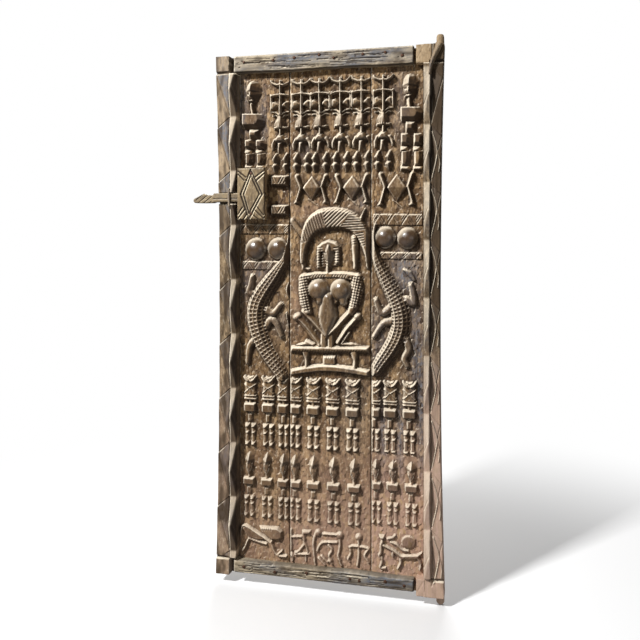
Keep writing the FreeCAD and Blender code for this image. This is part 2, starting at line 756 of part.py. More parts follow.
def nail(x, z, y_face, length, grown=0.0):
    """A forged nail with a square shank and a hammered head. A hole for it is the same shank grown."""
    half = nail_width / 2 + grown
    y_start = y_face - (overrun if grown else 0)
    shank = block(x - half, x + half, y_start, y_face + length + grown, z - half, z + half)
    if grown:
        return shank
    corners = []
    for radius, y in ((nail_head_radius, y_face), (nail_head_flat_radius, y_face - nail_head_height)):
        for angle in range(0, 360, 45):
            turn = math.radians(angle)
            corners.append(vec(x + radius * math.cos(turn), y, z + radius * math.sin(turn)))
    sides = len(corners) // 2
    faces = [list(range(sides)), list(range(sides, 2 * sides))]
    for side in range(sides):
        after = (side + 1) % sides
        faces.append([side, after, after + sides, side + sides])
    return faceted(corners, faces).fuse(shank)


def rail_nail_places(z_low, z_high, shares):
    x_low = x_left_stile - rail_left_lap
    x_high = x_right_stile - ear_width - rail_ear_gap
    return [(x_low + along * (x_high - x_low), z_low + up * (z_high - z_low)) for along, up in shares]


def nails(places, y_face, length, grown=0.0):
    return [nail(x, z, y_face, length, grown) for x, z in places]


staple_height_shares = (0.115, 0.50, 0.885)


def staple(x, z, grown=0.0):
    """A flat iron staple across a seam, on the back, with its two legs driven into the timbers."""
    half_wide = staple_width / 2 + grown
    reach = staple_span / 2
    legs = []
    for side in (-1, 1):
        inner = x + side * (reach - staple_leg_thickness) - side * grown
        outer = x + side * reach + side * grown
        legs.append(block(min(inner, outer), max(inner, outer), axis_to_back - staple_leg_length - grown,
                          axis_to_back + (overrun if grown else 0), z - half_wide, z + half_wide))
    if grown:
        return legs[0].fuse(legs[1])
    bridge = block(x - reach, x + reach, axis_to_back, axis_to_back + staple_thickness,
                   z - half_wide, z + half_wide)
    return bridge.fuse(legs)


def staples(grown=0.0):
    seams = (x_left_stile, x_left_seam, x_right_seam, x_right_stile)
    return [staple(x, share * body_height, grown) for x in seams for share in staple_height_shares]


# Lock

def lock_case():
    """An upright block, open behind where the land closes it: a channel for the bolt, a chamber for each pin."""
    x_low, x_high = case_left, case_right
    z_low = case_z - case_height / 2
    case = block(x_low, x_high, case_front, land_front, z_low, z_low + case_height)
    front_edges = [edge for edge in case.Edges
                   if all(abs(vertex.Y - case_front) < snug_gap for vertex in edge.Vertexes)]
    case = case.makeChamfer(case_arris, front_edges)
    cuts = [block(x_low - overrun, x_high + overrun, bolt_front - run_gap, land_front + overrun,
                  bolt_low - run_gap, bolt_high + run_gap)]
    half = tumbler_width / 2 + rest_gap
    for x in tumbler_places:
        cuts.append(block(x - half, x + half, land_front - chamber_depth, land_front + overrun,
                          bolt_middle, tumbler_low + tumbler_height + tumbler_stroke + run_gap))
    return case.cut(cuts)


def lock_bolt():
    """A bar with a slanted tip, hollowed from its right end for the key, which meets the pins' holes."""
    end = case_right + bolt_right_end
    tip = x_left_edge - bolt_tip_reach
    shoulder = tip + bolt_shoulder_length
    neck = tip + bolt_neck_length
    tip_low = bolt_low - bolt_tip_drop
    tip_high = tip_low + bolt_tip_height
    outline = [(tip, tip_low + bolt_tip_height / 3), (shoulder, bolt_high), (shoulder + bolt_tip_drop, tip_high),
               (neck, tip_high), (neck + bolt_tip_drop, bolt_high), (end, bolt_high), (end, bolt_low),
               (neck, bolt_low), (neck - bolt_tip_drop, tip_low), (shoulder, tip_low)]
    bolt = pushed(cut_face(outline, bolt_front), bolt_depth)
    hollow_high = bolt_high - tumbler_stroke
    hollow_left = tumbler_places[0] + unthrown_length - tumbler_width / 2 - key_channel_margin
    cuts = [block(hollow_left, end + overrun, bolt_front + key_channel_wall, bolt_back - key_channel_wall,
                  hollow_high - key_channel_height, hollow_high)]
    half = tumbler_width / 2 + run_gap
    for x in tumbler_places:
        centre = x + unthrown_length
        cuts.append(block(centre - half, centre + half, land_front - tumbler_depth - run_gap, bolt_back + overrun,
                          hollow_high - run_gap, bolt_high + overrun))
    return bolt.cut(cuts)


def tumbler(x):
    """A flat pin with a slanted foot corner, resting just above the bolt."""
    half = tumbler_width / 2
    y_back = land_front - rest_gap
    body = block(x - half, x + half, y_back - tumbler_depth + rest_gap, y_back,
                 tumbler_low, tumbler_low + tumbler_height)
    foot_edges = [edge for edge in body.Edges
                  if all(abs(vertex.Z - tumbler_low) < snug_gap for vertex in edge.Vertexes)]
    return body.makeChamfer(rest_gap * 4, foot_edges)


# The whole leaf

def whole_leaf():
    top_low = body_height - top_rail_inset - top_rail_height
    top_high = body_height - top_rail_inset
    bottom_low = bottom_rail_inset
    bottom_high = bottom_rail_inset + bottom_rail_height
    rail_nail_length = rail_thickness + nail_bite
    top_places = rail_nail_places(top_low, top_high, top_nail_shares)
    bottom_places = rail_nail_places(bottom_low, bottom_high, bottom_nail_shares)

    nail_holes = nails(top_places + bottom_places, rail_front, rail_nail_length, snug_gap)
    lock_holes = nails(case_nail_places, case_front, lock_nail_length, snug_gap)
    staple_holes = staples(snug_gap)

    z_low = case_z - case_height / 2
    land = block(case_left, case_right, land_front, ground + root_depth, z_low, z_low + case_height)

    parts = {
        "left_plank": plank(left_board, left_plank_relief() + rows_on(left_board) + [land]).cut(
            nail_holes + lock_holes + staple_holes),
        "middle_plank": plank(middle_board, middle_plank_relief() + rows_on(middle_board)).cut(
            nail_holes + staple_holes),
        "right_plank": plank(right_board, right_plank_relief() + rows_on(right_board)).cut(
            nail_holes + staple_holes),
        "left_stile": left_stile().cut(staple_holes),
        "right_stile": right_stile().cut(staple_holes),
        "top_rail": rail(top_low, top_high, False).cut(nail_holes),
        "bottom_rail": rail(bottom_low, bottom_high, True).cut(nail_holes),
        "top_rail_nails": Part.makeCompound(nails(top_places, rail_front, rail_nail_length)),
        "bottom_rail_nails": Part.makeCompound(nails(bottom_places, rail_front, rail_nail_length)),
        "back_staples": Part.makeCompound(staples()),
        "lock_case": lock_case().cut(lock_holes),
        "lock_nails": Part.makeCompound(nails(case_nail_places, case_front, lock_nail_length)),
        "lock_bolt": lock_bolt(),
    }
    for name, x in zip(("tumbler_left", "tumbler_middle", "tumbler_right"), tumbler_places):
        parts[name] = tumbler(x)
    return parts


os.makedirs("parts", exist_ok=True)
for name, shape in whole_leaf().items():
    shape.exportStep("parts/" + name + ".step")
    print(name, "solids", len(shape.Solids), "faces", len(shape.Faces), "valid", shape.isValid())
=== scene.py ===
"""A carved door leaf of weathered hardwood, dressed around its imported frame."""

import math

import bpy
import numpy as np
from bpy.props import FloatProperty, FloatVectorProperty, PointerProperty
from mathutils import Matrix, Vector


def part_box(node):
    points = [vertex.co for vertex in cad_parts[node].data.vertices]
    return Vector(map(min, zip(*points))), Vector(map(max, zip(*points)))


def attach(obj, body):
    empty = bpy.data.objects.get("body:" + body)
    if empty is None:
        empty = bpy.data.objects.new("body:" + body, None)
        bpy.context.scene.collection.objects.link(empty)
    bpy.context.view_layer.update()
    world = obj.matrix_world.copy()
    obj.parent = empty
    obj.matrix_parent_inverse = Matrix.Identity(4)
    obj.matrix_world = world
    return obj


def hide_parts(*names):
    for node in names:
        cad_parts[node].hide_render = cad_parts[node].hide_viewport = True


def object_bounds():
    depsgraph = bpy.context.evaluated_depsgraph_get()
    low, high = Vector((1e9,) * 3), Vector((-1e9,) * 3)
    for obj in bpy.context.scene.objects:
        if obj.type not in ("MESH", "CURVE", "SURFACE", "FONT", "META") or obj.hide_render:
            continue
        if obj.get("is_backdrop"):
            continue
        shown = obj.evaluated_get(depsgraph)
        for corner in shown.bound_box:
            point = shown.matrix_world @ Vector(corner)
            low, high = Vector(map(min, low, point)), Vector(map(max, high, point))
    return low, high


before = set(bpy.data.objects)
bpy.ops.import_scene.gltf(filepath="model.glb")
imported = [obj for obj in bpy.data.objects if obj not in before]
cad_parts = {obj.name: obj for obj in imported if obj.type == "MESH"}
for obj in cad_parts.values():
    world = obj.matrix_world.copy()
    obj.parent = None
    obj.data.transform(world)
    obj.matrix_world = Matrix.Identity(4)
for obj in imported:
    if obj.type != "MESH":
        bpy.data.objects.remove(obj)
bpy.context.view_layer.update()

bl_info = {
    "name": "Carved Door Leaf",
    "version": (1, 0, 0),
    "blender": (4, 5, 0),
    "location": "View3D > Sidebar > Door Leaf",
    "description": "Carves the planks, stiles, rails and lock of a plank door leaf",
    "category": "Object",
}

MM = 0.001


# Where things are, in millimetres

def edges(node):
    """A node's lowest and highest corners, in millimetres and to a thousandth."""
    low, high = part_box(node)
    return np.round(np.array(low) / MM, 3), np.round(np.array(high) / MM, 3)


def unit(values):
    """Values held between 0 and 1."""
    return np.clip(values, 0, 1)


def sides(node):
    """A node's left and right sides, in millimetres."""
    low, high = edges(node)
    return low[0], high[0]


# Thicknesses of the planks and of the stiles' band, and the gap at each seam
PLANK_THICK = 26.0
STILE_THICK = 60.0
SEAM = 2.4

# The leaf's back, the planks' ground and the band's front, and how far a carved piece stays inside its back
BACK = edges("left_plank")[1][1]
GROUND = BACK - PLANK_THICK
BAND_FRONT = BACK - STILE_THICK
BACK_INSET = 0.2

LEAF_FOOT, LEAF_TOP = edges("left_stile")[0][2], edges("left_stile")[1][2]
BOARD_LOW, BOARD_HIGH = edges("middle_plank")[0][2], edges("middle_plank")[1][2]
TUMBLERS = ("tumbler_left", "tumbler_middle", "tumbler_right")

# The photograph's camera: focal length, horizon and centre in its pixels, then place and turn
FOCAL = 700.0
HORIZON = 239.0
PHOTO_SIDE = 640.0
CAMERA = np.array([153.0, -2654.0, 1327.0])
TURN = math.radians(13.06)
FACE_DEPTH = -20.0


def seen(pixels, depth=FACE_DEPTH):
    """Across and up, in millimetres on the upright plane at a depth, of pixels of the photograph."""
    u, v = np.atleast_2d(np.asarray(pixels, float)).T
    slope = (u - PHOTO_SIDE / 2) / FOCAL
    reach = (depth - CAMERA[1]) / (math.cos(TURN) + slope * math.sin(TURN))
    x = CAMERA[0] + reach * (slope * math.cos(TURN) - math.sin(TURN))
    z = CAMERA[2] + reach * (HORIZON - v) / FOCAL
    return np.stack([x, z], axis=1)


def rounded(path, steps=5):
    """A path through the same points with its corners rounded: a Catmull-Rom curve."""
    path = np.asarray(path, float)
    ends = np.vstack([2 * path[0] - path[1], path, 2 * path[-1] - path[-2]])
    before, start, end, after = ends[:-3, None], ends[1:-2, None], ends[2:-1, None], ends[3:, None]
    t = (np.arange(steps) / steps)[None, :, None]
    curve = 0.5 * (2 * start + (end - before) * t + (2 * before - 5 * start + 4 * end - after) * t ** 2
                   + (3 * start - before - 3 * end + after) * t ** 3)
    return np.vstack([curve.reshape(-1, 2), path[-1:]])


def along(path, x, z):
    """For every cell, its offset to the left of a path, and how far along the path its nearest point is."""
    nearest = np.full(np.broadcast(x, z).shape, np.inf)
    side = np.zeros_like(nearest)
    run = np.zeros_like(nearest)
    start = 0.0
    for a, b in zip(path[:-1], path[1:]):
        step = b - a
        length = max(np.hypot(*step), 1e-6)
        share = unit(((x - a[0]) * step[0] + (z - a[1]) * step[1]) / length ** 2)
        off_x = x - a[0] - share * step[0]
        off_z = z - a[1] - share * step[1]
        far = np.hypot(off_x, off_z)
        left = np.where(step[0] * off_z - step[1] * off_x > 0, 1.0, -1.0)
        closer = far < nearest
        nearest = np.where(closer, far, nearest)
        side = np.where(closer, far * left, side)
        run = np.where(closer, start + share * length, run)
        start += length
    return side, run


def rounded_stroke(path, widths):
    """A stroke's path with its corners rounded, and its widths at each of the new points."""
    knots = np.arange(len(path))
    path = rounded(path)
    return path, np.interp(np.linspace(0, len(knots) - 1, len(path)), knots, widths)


def widths_at(path, widths, run):
    """A stroke's width at every cell, from how far along its path the cell is."""
    marks = np.concatenate([[0], np.cumsum(np.hypot(*np.diff(path, axis=0).T))])
    return np.interp(run, marks, widths)


def insets(corners, x, z):
    """For each side of a convex outline, how far inside it every cell is, and the way out across and up."""
    ahead = np.roll(corners, -1, axis=0)
    if np.sum(corners[:, 0] * ahead[:, 1] - ahead[:, 0] * corners[:, 1]) < 0:
        corners, ahead = ahead, corners
    for a, b in zip(corners, ahead):
        run = (b - a) / max(np.hypot(*(b - a)), 1e-6)
        yield run[0] * (z - a[1]) - run[1] * (x - a[0]), run[1], -run[0]


def soften(grid, cells):
    """A grid blurred by three running means, each about so many cells wide."""
    radius = max(int(round(cells / 2)), 1)
    for axis in (0, 1) * 3:
        pad = [(radius + 1, radius) if a == axis else (0, 0) for a in (0, 1)]
        total = np.cumsum(np.pad(grid, pad, mode="edge"), axis=axis)
        size = grid.shape[axis]
        high = np.take(total, np.arange(2 * radius + 1, 2 * radius + 1 + size), axis=axis)
        low = np.take(total, np.arange(size), axis=axis)
        grid = (high - low) / (2 * radius + 1)
    return grid


def uneven(x, z, cell_x, cell_z, seed):
    """Smooth random waves between -1 and 1: random values on a coarse grid, blended with a cosine."""
    luck = np.random.default_rng(seed)
    x, z = np.broadcast_arrays(x, z)
    across = (x - x.min()) / cell_x
    up = (z - z.min()) / cell_z
    values = luck.uniform(-1, 1, (int(up.max()) + 2, int(across.max()) + 2))
    i, j = across.astype(int), up.astype(int)
    s = 0.5 - 0.5 * np.cos(np.pi * (across - i))
    t = 0.5 - 0.5 * np.cos(np.pi * (up - j))
    low = values[j, i] * (1 - s) + values[j, i + 1] * s
    high = values[j + 1, i] * (1 - s) + values[j + 1, i + 1] * s
    return low * (1 - t) + high * t


def tool_marks(x, z, cell_x, cell_z, seed):
    """Flat cuts of an adze: each spot belongs to the nearest of jittered points, and lies on its plane.

    Gives the cuts' heights, about -1 to 1, and a random tone from 0 to 1 for each cut.
    """
    luck = np.random.default_rng(seed)
    x, z = np.broadcast_arrays(x, z)
    across, up = (x - x.min()) / cell_x, (z - z.min()) / cell_z
    i, j = across.astype(int), up.astype(int)
    shape = (j.max() + 3, i.max() + 3)
    jitter_x, jitter_z = luck.uniform(0.1, 0.9, shape), luck.uniform(0.1, 0.9, shape)
    lean_x, lean_z, tones = (luck.uniform(low, 1, shape) for low in (-1, -1, 0))
    nearest = np.full(x.shape, np.inf)
    high, tone = np.zeros(x.shape), np.zeros(x.shape)
    for down in (0, 1, 2):
        for right in (0, 1, 2):
            row, column = j + down, i + right
            off_x = across - (column - 1 + jitter_x[row, column])
            off_z = up - (row - 1 + jitter_z[row, column])
            far = off_x ** 2 + off_z ** 2
            closer = far < nearest
            nearest = np.where(closer, far, nearest)
            high = np.where(closer, lean_x[row, column] * off_x + lean_z[row, column] * off_z, high)
            tone = np.where(closer, tones[row, column], tone)
    return high, tone


class Carving:
    """Heights in millimetres over a rectangle of wood, with the stain and the polish of each spot."""

    def __init__(self, x_range, z_range, step, coarse=6):
        columns = int(round((x_range[1] - x_range[0]) / step / coarse)) * coarse + 1
        rows = int(round((z_range[1] - z_range[0]) / step / coarse)) * coarse + 1
        self.x = np.linspace(x_range[0], x_range[1], columns)
        self.z = np.linspace(z_range[0], z_range[1], rows)
        self.step = (x_range[1] - x_range[0]) / (columns - 1)
        self.coarse = coarse
        self.high = np.zeros((rows, columns))
        self.stain_and_shade = np.zeros((rows, columns))
        self.polish = np.zeros((rows, columns))

    def window(self, points, margin):
        """The cells around some points, and their places across and up."""
        points = np.atleast_2d(points)
        low, high = points.min(axis=0) - margin, points.max(axis=0) + margin
        i, j = np.searchsorted(self.x, [low[0], high[0]])
        k, m = np.searchsorted(self.z, [low[1], high[1]])
        return (slice(k, m), slice(i, j)), self.x[None, i:j], self.z[k:m, None]

    def raise_to(self, cells, height, stain_and_shade=0.0, polish=0.0):
        """Wood is left standing: the higher of what was there and the new form shows."""
        here = self.high[cells]
        wins = (height > here) & (height > 0.3)
        self.high[cells] = np.where(wins, height, here)
        self.stain_and_shade[cells] = np.where(wins, 0.3 + 0.7 * stain_and_shade, self.stain_and_shade[cells])
        self.polish[cells] = np.where(wins, polish, self.polish[cells])

    def cut(self, cells, depth, floor=-4.0):
        """Wood is cut away, and dirt stays in the deeper part of the cut."""
        self.high[cells] = np.maximum(self.high[cells] - depth, np.minimum(floor, self.high[cells]))
        self.stain_and_shade[cells] = np.maximum(self.stain_and_shade[cells], np.clip((depth - 1.5) / 3.0, 0, 0.85))


# The carver's strokes

# Heights across a bar, from -1 at the right of its path to 1 at the left
PROFILES = {
    "round": lambda s: np.sqrt(1 - s ** 2),
    "flat": lambda s: unit((1 - np.abs(s)) * 3.2),
    "ridge": lambda s: 1 - np.abs(s),
    "lit_left": lambda s: np.where(s < 0, np.sqrt(1 - s ** 2), 1 - s),
    "beast": lambda s: np.where(s < 0, unit((1 + s) * 2.6) ** 0.7, unit((1 - s) * 1.25)),
}


def bar(carving, path, widths, rise, shape="round", stain_and_shade=0.0, polish=0.0, curved=False):
    """A bar along a path. Its height is rise times a profile of its offset over half its width."""
    path = np.asarray(path, float)
    widths = np.broadcast_to(np.asarray(widths, float), (len(path),))
    if curved:
        path, widths = rounded_stroke(path, widths)
    cells, x, z = carving.window(path, widths.max())
    side, run = along(path, x, z)
    offset = side / np.maximum(widths_at(path, widths, run) / 2, 1e-6)
    carving.raise_to(cells, rise * PROFILES[shape](np.clip(offset, -1, 1)), stain_and_shade, polish)


def hip(carving, corners, rise, slopes=(3, 3, 3, 3), stain_and_shade=0.0, polish=0.0, lean=(0.0, 0.0)):
    """A many-sided block: height is rise times the least of each side's distance over its slope's width.

    The widths are for sides that face left, right, up and down, and sides between are mixed from them.
    """
    corners = np.asarray(corners, float)
    cells, x, z = carving.window(corners, 2)
    middle = corners.mean(axis=0)
    height = rise + lean[0] * (x - middle[0]) + lean[1] * (z - middle[1])
    left, right, up, down = slopes
    for inset, out_x, out_z in insets(corners, x, z):
        wide, tall = abs(out_x), abs(out_z)
        slope = (wide * (left if out_x < 0 else right) + tall * (up if out_z > 0 else down)) / (wide + tall)
        height = np.minimum(height, rise * inset / slope)
    carving.raise_to(cells, height, stain_and_shade, polish)


def box_of(x, z, width, height):
    """The corners of an upright box around its middle."""
    return [(x - width / 2, z - height / 2), (x + width / 2, z - height / 2),
            (x + width / 2, z + height / 2), (x - width / 2, z + height / 2)]


def dome(carving, centre, radii, rise, stain_and_shade=0.0, polish=0.0, power=0.5):
    """A swelling: rise times (1 - q squared) to a power, q the distance from the middle over the radius."""
    cells, x, z = carving.window([centre], max(radii))
    q = ((x - centre[0]) / radii[0]) ** 2 + ((z - centre[1]) / radii[1]) ** 2
    carving.raise_to(cells, rise * unit(1 - q) ** power, stain_and_shade, polish)


def groove(carving, path, width, depth, least=-np.inf):
    """A V cut along a path, only where the wood is at least so high."""
    path = np.asarray(path, float)
    cells, x, z = carving.window(path, width)
    cut = depth * unit(1 - np.abs(along(path, x, z)[0]) / (width / 2))
    carving.cut(cells, np.where(carving.high[cells] >= least, cut, 0))


def inside_of(corners, x, z, fade=1.5):
    """1 inside a convex outline and 0 outside, with a short fade."""
    least = np.min([inset for inset, _, _ in insets(np.asarray(corners, float), x, z)], axis=0)
    return unit(least / fade)


def hatch(carving, corners, degrees, pitch, depth, least=1.0, share=0.55):
    """Even V grooves at an angle inside a convex outline, only on wood that stands at least so high."""
    cells, x, z = carving.window(corners, 1)
    turn = math.radians(degrees)
    phase = (-math.sin(turn) * x + math.cos(turn) * z) / pitch
    wave = np.abs((phase - np.floor(phase)) * 2 - 1)
    cut = depth * unit((wave - (1 - share)) / share) * inside_of(corners, x, z)
    carving.cut(cells, np.where(carving.high[cells] >= least, cut, 0))


def cross_hatch(carving, corners, degrees, pitch, depth, least=1.0):
    """A grid: even grooves one way, and then square to them."""
    hatch(carving, corners, degrees, pitch, depth, least)
    hatch(carving, corners, degrees + 90, pitch, depth, least)


def triangle_band(carving, corner_pixels, count, rise, pitch=7.5, depth=4.0):
    """A low band cut with rows of slanting hatches that alternate between uprights of a zigzag."""
    low_left, low_right, high_right, high_left = seen(corner_pixels)
    hip(carving, [low_left, low_right, high_right, high_left], rise, (2, 2, 2, 2), stain_and_shade=0.25)
    for number in range(count):
        a, b = number / count, (number + 1) / count
        foot = low_left + (low_right - low_left) * np.array([[a], [b]])
        head = high_left + (high_right - high_left) * np.array([[a], [b]])
        slant = number % 2 == 0
        groove(carving, [foot[0], head[1]] if slant else [head[0], foot[1]], 5.0, depth)
        region = [foot[0], head[0], head[1]] if slant else [foot[0], head[0], foot[1]]
        run = (head[1] - foot[0]) if slant else (foot[1] - head[0])
        angle = math.degrees(math.atan2(run[1], run[0]))
        hatch(carving, region, angle, pitch, depth, least=rise * 0.5)


def scales(carving, path, widths, rows, pitch, depth, least):
    """Pockets on a beast's back, darkened with grime and painted shade, between ridges at even offsets from
    its spine and steps along it.
    """
    path, widths = rounded_stroke(path, widths)
    cells, x, z = carving.window(path, max(widths) / 2)
    side, run = along(path, x, z)
    width = widths_at(path, widths, run)
    lane = (side / width + 0.5) * rows
    off_lane = np.abs(lane - np.round(lane)) * width / rows
    step = run / pitch + np.floor(lane) * 0.12
    off_step = np.abs(step - np.round(step)) * pitch
    pocket = unit((np.minimum(off_lane, off_step) - 1.5) / 2.0) * (np.abs(side) < width * 0.46)
    pocket = np.where(carving.high[cells] >= least, pocket, 0)
    carving.cut(cells, depth * pocket)
    carving.stain_and_shade[cells] = np.maximum(carving.stain_and_shade[cells], 1.2 * pocket)


# Figures that repeat

# The level that the dancers' masts start from, and how far their levels differ at most, each way
DANCER_TOP = 1946.85
DANCER_DROP = 1.925


def dancer(c, x, number):
    """A masked dancer: a mast with two winged bars, raised arms, a flared mask, shoulders, and two legs.

    Places on it are millimetres across from its mast and down from the dancers' top.
    """
    luck = np.random.default_rng(50 + number)
    drop = luck.uniform(-DANCER_DROP, DANCER_DROP, 8)
    sway = drop[0] / DANCER_DROP * 1.5

    def at(across, down):
        return x + across, DANCER_TOP - down

    def upright(width, top, low, rise, slopes, stain_and_shade=0.0):
        hip(c, box_of(x + 1, DANCER_TOP - (top + low) / 2, width, low - top), rise, slopes, stain_and_shade)

    # The mast, its two winged bars, and the crossbars' hooks
    bar(c, [at(sway, 1.9), at(0, 134.8)], 7, 25, "flat", stain_and_shade=0.4)
    upper_wings = [at(-38, -0.8 + drop[1]), at(-30, 10.0), at(-13, 16.9), at(0, 15.4), at(13, 17.7),
                   at(30, 9.2), at(38, -2.3 + drop[2])]
    bar(c, upper_wings, [6, 8, 9, 11, 9, 8, 6], 25, curved=True)
    lower_wings = [at(-37, 62.4 + drop[3]), at(-20, 56.2), at(0, 55.4), at(20, 57.0), at(37, 61.6)]
    bar(c, lower_wings, [8, 9, 10, 9, 8], 26, curved=True)
    for side in (-1, 1):
        bar(c, [at(side * 37, 53.9), at(side * 37.5, 115.5)], 6, 21, "flat")
        leaf = [at(side * 37, 83.2), at(side * 22, 78.5 + drop[4]), at(side * 5, 93.2), at(side * 5, 101.6),
                at(side * 37, 117.0)]
        hip(c, leaf, 24, (7, 9, 5, 6), lean=(0, 0.25))
        bar(c, [at(side * 38, 121.7), at(side * 20, 123.2), at(side * 5, 134.0)], [5, 6, 7], 22, "ridge")
        bar(c, [at(side * 33, 136.3), at(side * 18, 135.5), at(side * 6, 146.3)], [4, 5, 6], 20, "ridge")
    # The flared mask over its notched hem, and the neck
    mask = [at(-14, 130.9), at(13, 130.9), at(24, 169.4), at(27, 189.4), at(-31, 189.4), at(-27, 165.6)]
    hip(c, mask, 26, (30, 22, 4, 4), stain_and_shade=0.8)
    hem = [at(-25, 179.4), at(29, 179.4), at(31, 192.5), at(-27, 192.5)]
    hip(c, hem, 21, (3, 8, 3, 5), stain_and_shade=0.3)
    for notch in (-18, -9, 0, 9, 18):
        groove(c, [at(notch, 179.4), at(notch + 1, 192.5)], 4, 5, least=6)
    upright(13, 188.7, 215.6, 19, (3, 6, 2, 2))
    # The cap of shoulders, the hanging arms and the waist
    shoulders = [at(-11, 209.4), at(11, 209.4), at(25, 225.2), at(28, 244.1), at(-26, 244.1), at(-24, 225.2)]
    hip(c, shoulders, 29, (12, 17, 12, 9), stain_and_shade=0.6, polish=0.4)
    bar(c, [at(-22, 231.0), at(-31, 250.2), at(-30, 267.6)], [13, 12, 9], 21, "round", stain_and_shade=0.15)
    bar(c, [at(23, 231.0), at(33, 246.4), at(36, 261.8)], [13, 12, 8], 20, "round", stain_and_shade=0.25)
    upright(25, 238.7, 286.8, 22, (5, 14, 8, 26), 0.6)
    # Two lozenges for each leg
    for middle in (-21, 22):
        thigh = [at(middle + 1, 281.1), at(middle + 8, 283.4), at(middle + 17, 305.7), at(middle + 10, 326.5),
                 at(middle - 7, 324.9), at(middle - 16, 308.0)]
        hip(c, thigh, 27, (8, 14, 7, 13), stain_and_shade=0.8)
        shin = [at(middle - 7, 321.1), at(middle + 9, 321.9), at(middle + 17, 334.9), at(middle + 5, 362.7),
                at(middle - 4, 362.7), at(middle - 17, 334.9)]
        hip(c, shin, 26, (8, 14, 9, 15), stain_and_shade=0.8)


def small_body(c, x, levels, wide, stain_and_shade, proud=21.0):
    """A square chest, a waist and two legs bent at the knee. The levels are heights, from the chest's top."""
    chest, waist, thigh, knee, ankle, sole = levels

    def part(across, width, top, low, rise, slopes, dark):
        hip(c, box_of(x + across, (top + low) / 2, width, top - low), rise, slopes, stain_and_shade=dark)

    half = wide / 2
    hip(c, [(x - half, chest), (x + half - 3, chest), (x + half, chest - 5), (x + half, waist + 9),
            (x + half - 5, waist + 2), (x - half + 4, waist + 2), (x - half, waist + 8)], proud, (2, 5, 3, 5),
        stain_and_shade=0.35 + stain_and_shade / 2)
    part(0.5, wide * 0.46, waist, thigh + 2, proud * 0.45, (4, 8, 7, 8), 0.5)
    for side in (-1, 1):
        across = side * wide * 0.26
        part(across, wide * 0.34, thigh - 8, sole + 8, proud * 0.34, (3, 5, 5, 5), 0.25)
        part(across, wide * 0.43, thigh, thigh - 19, proud * 0.95, (7, 8, 12, 6), 0.4)
        part(across + 0.5, wide * 0.40, knee + 3, knee - 13, proud * 0.85, (7, 8, 11, 5), 0.4)
        part(across, wide * 0.43, ankle - 2, sole, proud * 0.9, (7, 8, 13, 7), 0.4)


def mask_figure(c, x, top, levels, wide=50.0, stain_and_shade=0.45):
    """A square mask with two horns, a cross of ridges over two chin lines, and a small body below."""
    low = levels[0] + 15
    tall = top - low

    def at(across, up):
        return x + across * wide, low + up * tall

    hip(c, [at(-0.47, 0), at(0.47, 0), at(0.48, 0.94), at(-0.48, 0.94)], 13, (9, 5, 4, 4), stain_and_shade=stain_and_shade * 0.3)
    bar(c, [at(-0.48, 1.0), at(-0.36, 0.90), at(-0.16, 0.80)], [7, 12, 10], 24, curved=True)
    bar(c, [at(0.48, 1.0), at(0.36, 0.90), at(0.12, 0.80)], [7, 12, 10], 24, curved=True)
    bar(c, [at(-0.22, 0.98), at(0, 0.93), at(0.22, 0.98)], 6, 19, "ridge")
    dome(c, at(-0.02, 0.80), (wide * 0.09, tall * 0.07), 19, stain_and_shade=0.9)
    for side in (-1, 1):
        bar(c, [at(side * 0.45, 0.66), at(side * 0.14, 0.54), at(-side * 0.04, 0.49)], [8, 8, 6], 21, "ridge")
        bar(c, [at(side * 0.04, 0.52), at(side * 0.20, 0.40), at(side * 0.45, 0.28)], [6, 8, 8], 21, "ridge")
    hip(c, [at(-0.14, 0.20), at(0.14, 0.20), at(0, 0.40)], 17, (4, 5, 4, 2), stain_and_shade=0.4)
    for share in (0.15, 0.02):
        bar(c, [at(-0.46, share), at(0.48, share)], 8, 22, "ridge")
    bar(c, [(x, low), (x, levels[0] - 2)], 12, 9, "flat")
    small_body(c, x, levels, wide, stain_and_shade)


def almond_figure(c, x, top, levels, wide=50.0, stain_and_shade=0.45):
    """An almond cap with an upright ridge over a round chin with a hollow mouth, and a small body below."""
    low = levels[0] + 7
    tall = top - low

    def at(across, up):
        return x + across * wide, low + up * tall

    chin = [at(-0.29, 0.6), at(0.29, 0.6), at(0.28, 0.4), at(0.1, 0.06), at(-0.1, 0.06), at(-0.28, 0.4)]
    hip(c, chin, 17, (7, 7, 3, 5), stain_and_shade=0.5)
    for side in (-1, 1):
        dome(c, at(side * 0.13, 0.43), (wide * 0.07, tall * 0.04), 18, stain_and_shade=1.0)
        bar(c, [at(side * 0.23, 0.50), at(side * 0.21, 0.34), at(side * 0.03, 0.10)], [6, 6, 6], 20, "ridge")
    bar(c, [at(0, 0.56), at(0, 0.36)], [6, 8], 21, "ridge")
    dome(c, at(0, 0.26), (wide * 0.09, tall * 0.06), 18, stain_and_shade=1.1)
    cap = [at(0, 1.02), at(0.24, 0.86), at(0.4, 0.68), at(0.32, 0.5), at(0, 0.44), at(-0.32, 0.5),
           at(-0.4, 0.68), at(-0.24, 0.86)]
    hip(c, cap, 26, (20, 22, 12, 7), stain_and_shade=0.4 + stain_and_shade / 2, polish=0.4)
    bar(c, [(x, low + 10), (x, levels[0] - 2)], 12, 11, "flat")
    small_body(c, x, levels, wide, stain_and_shade, 18.0)


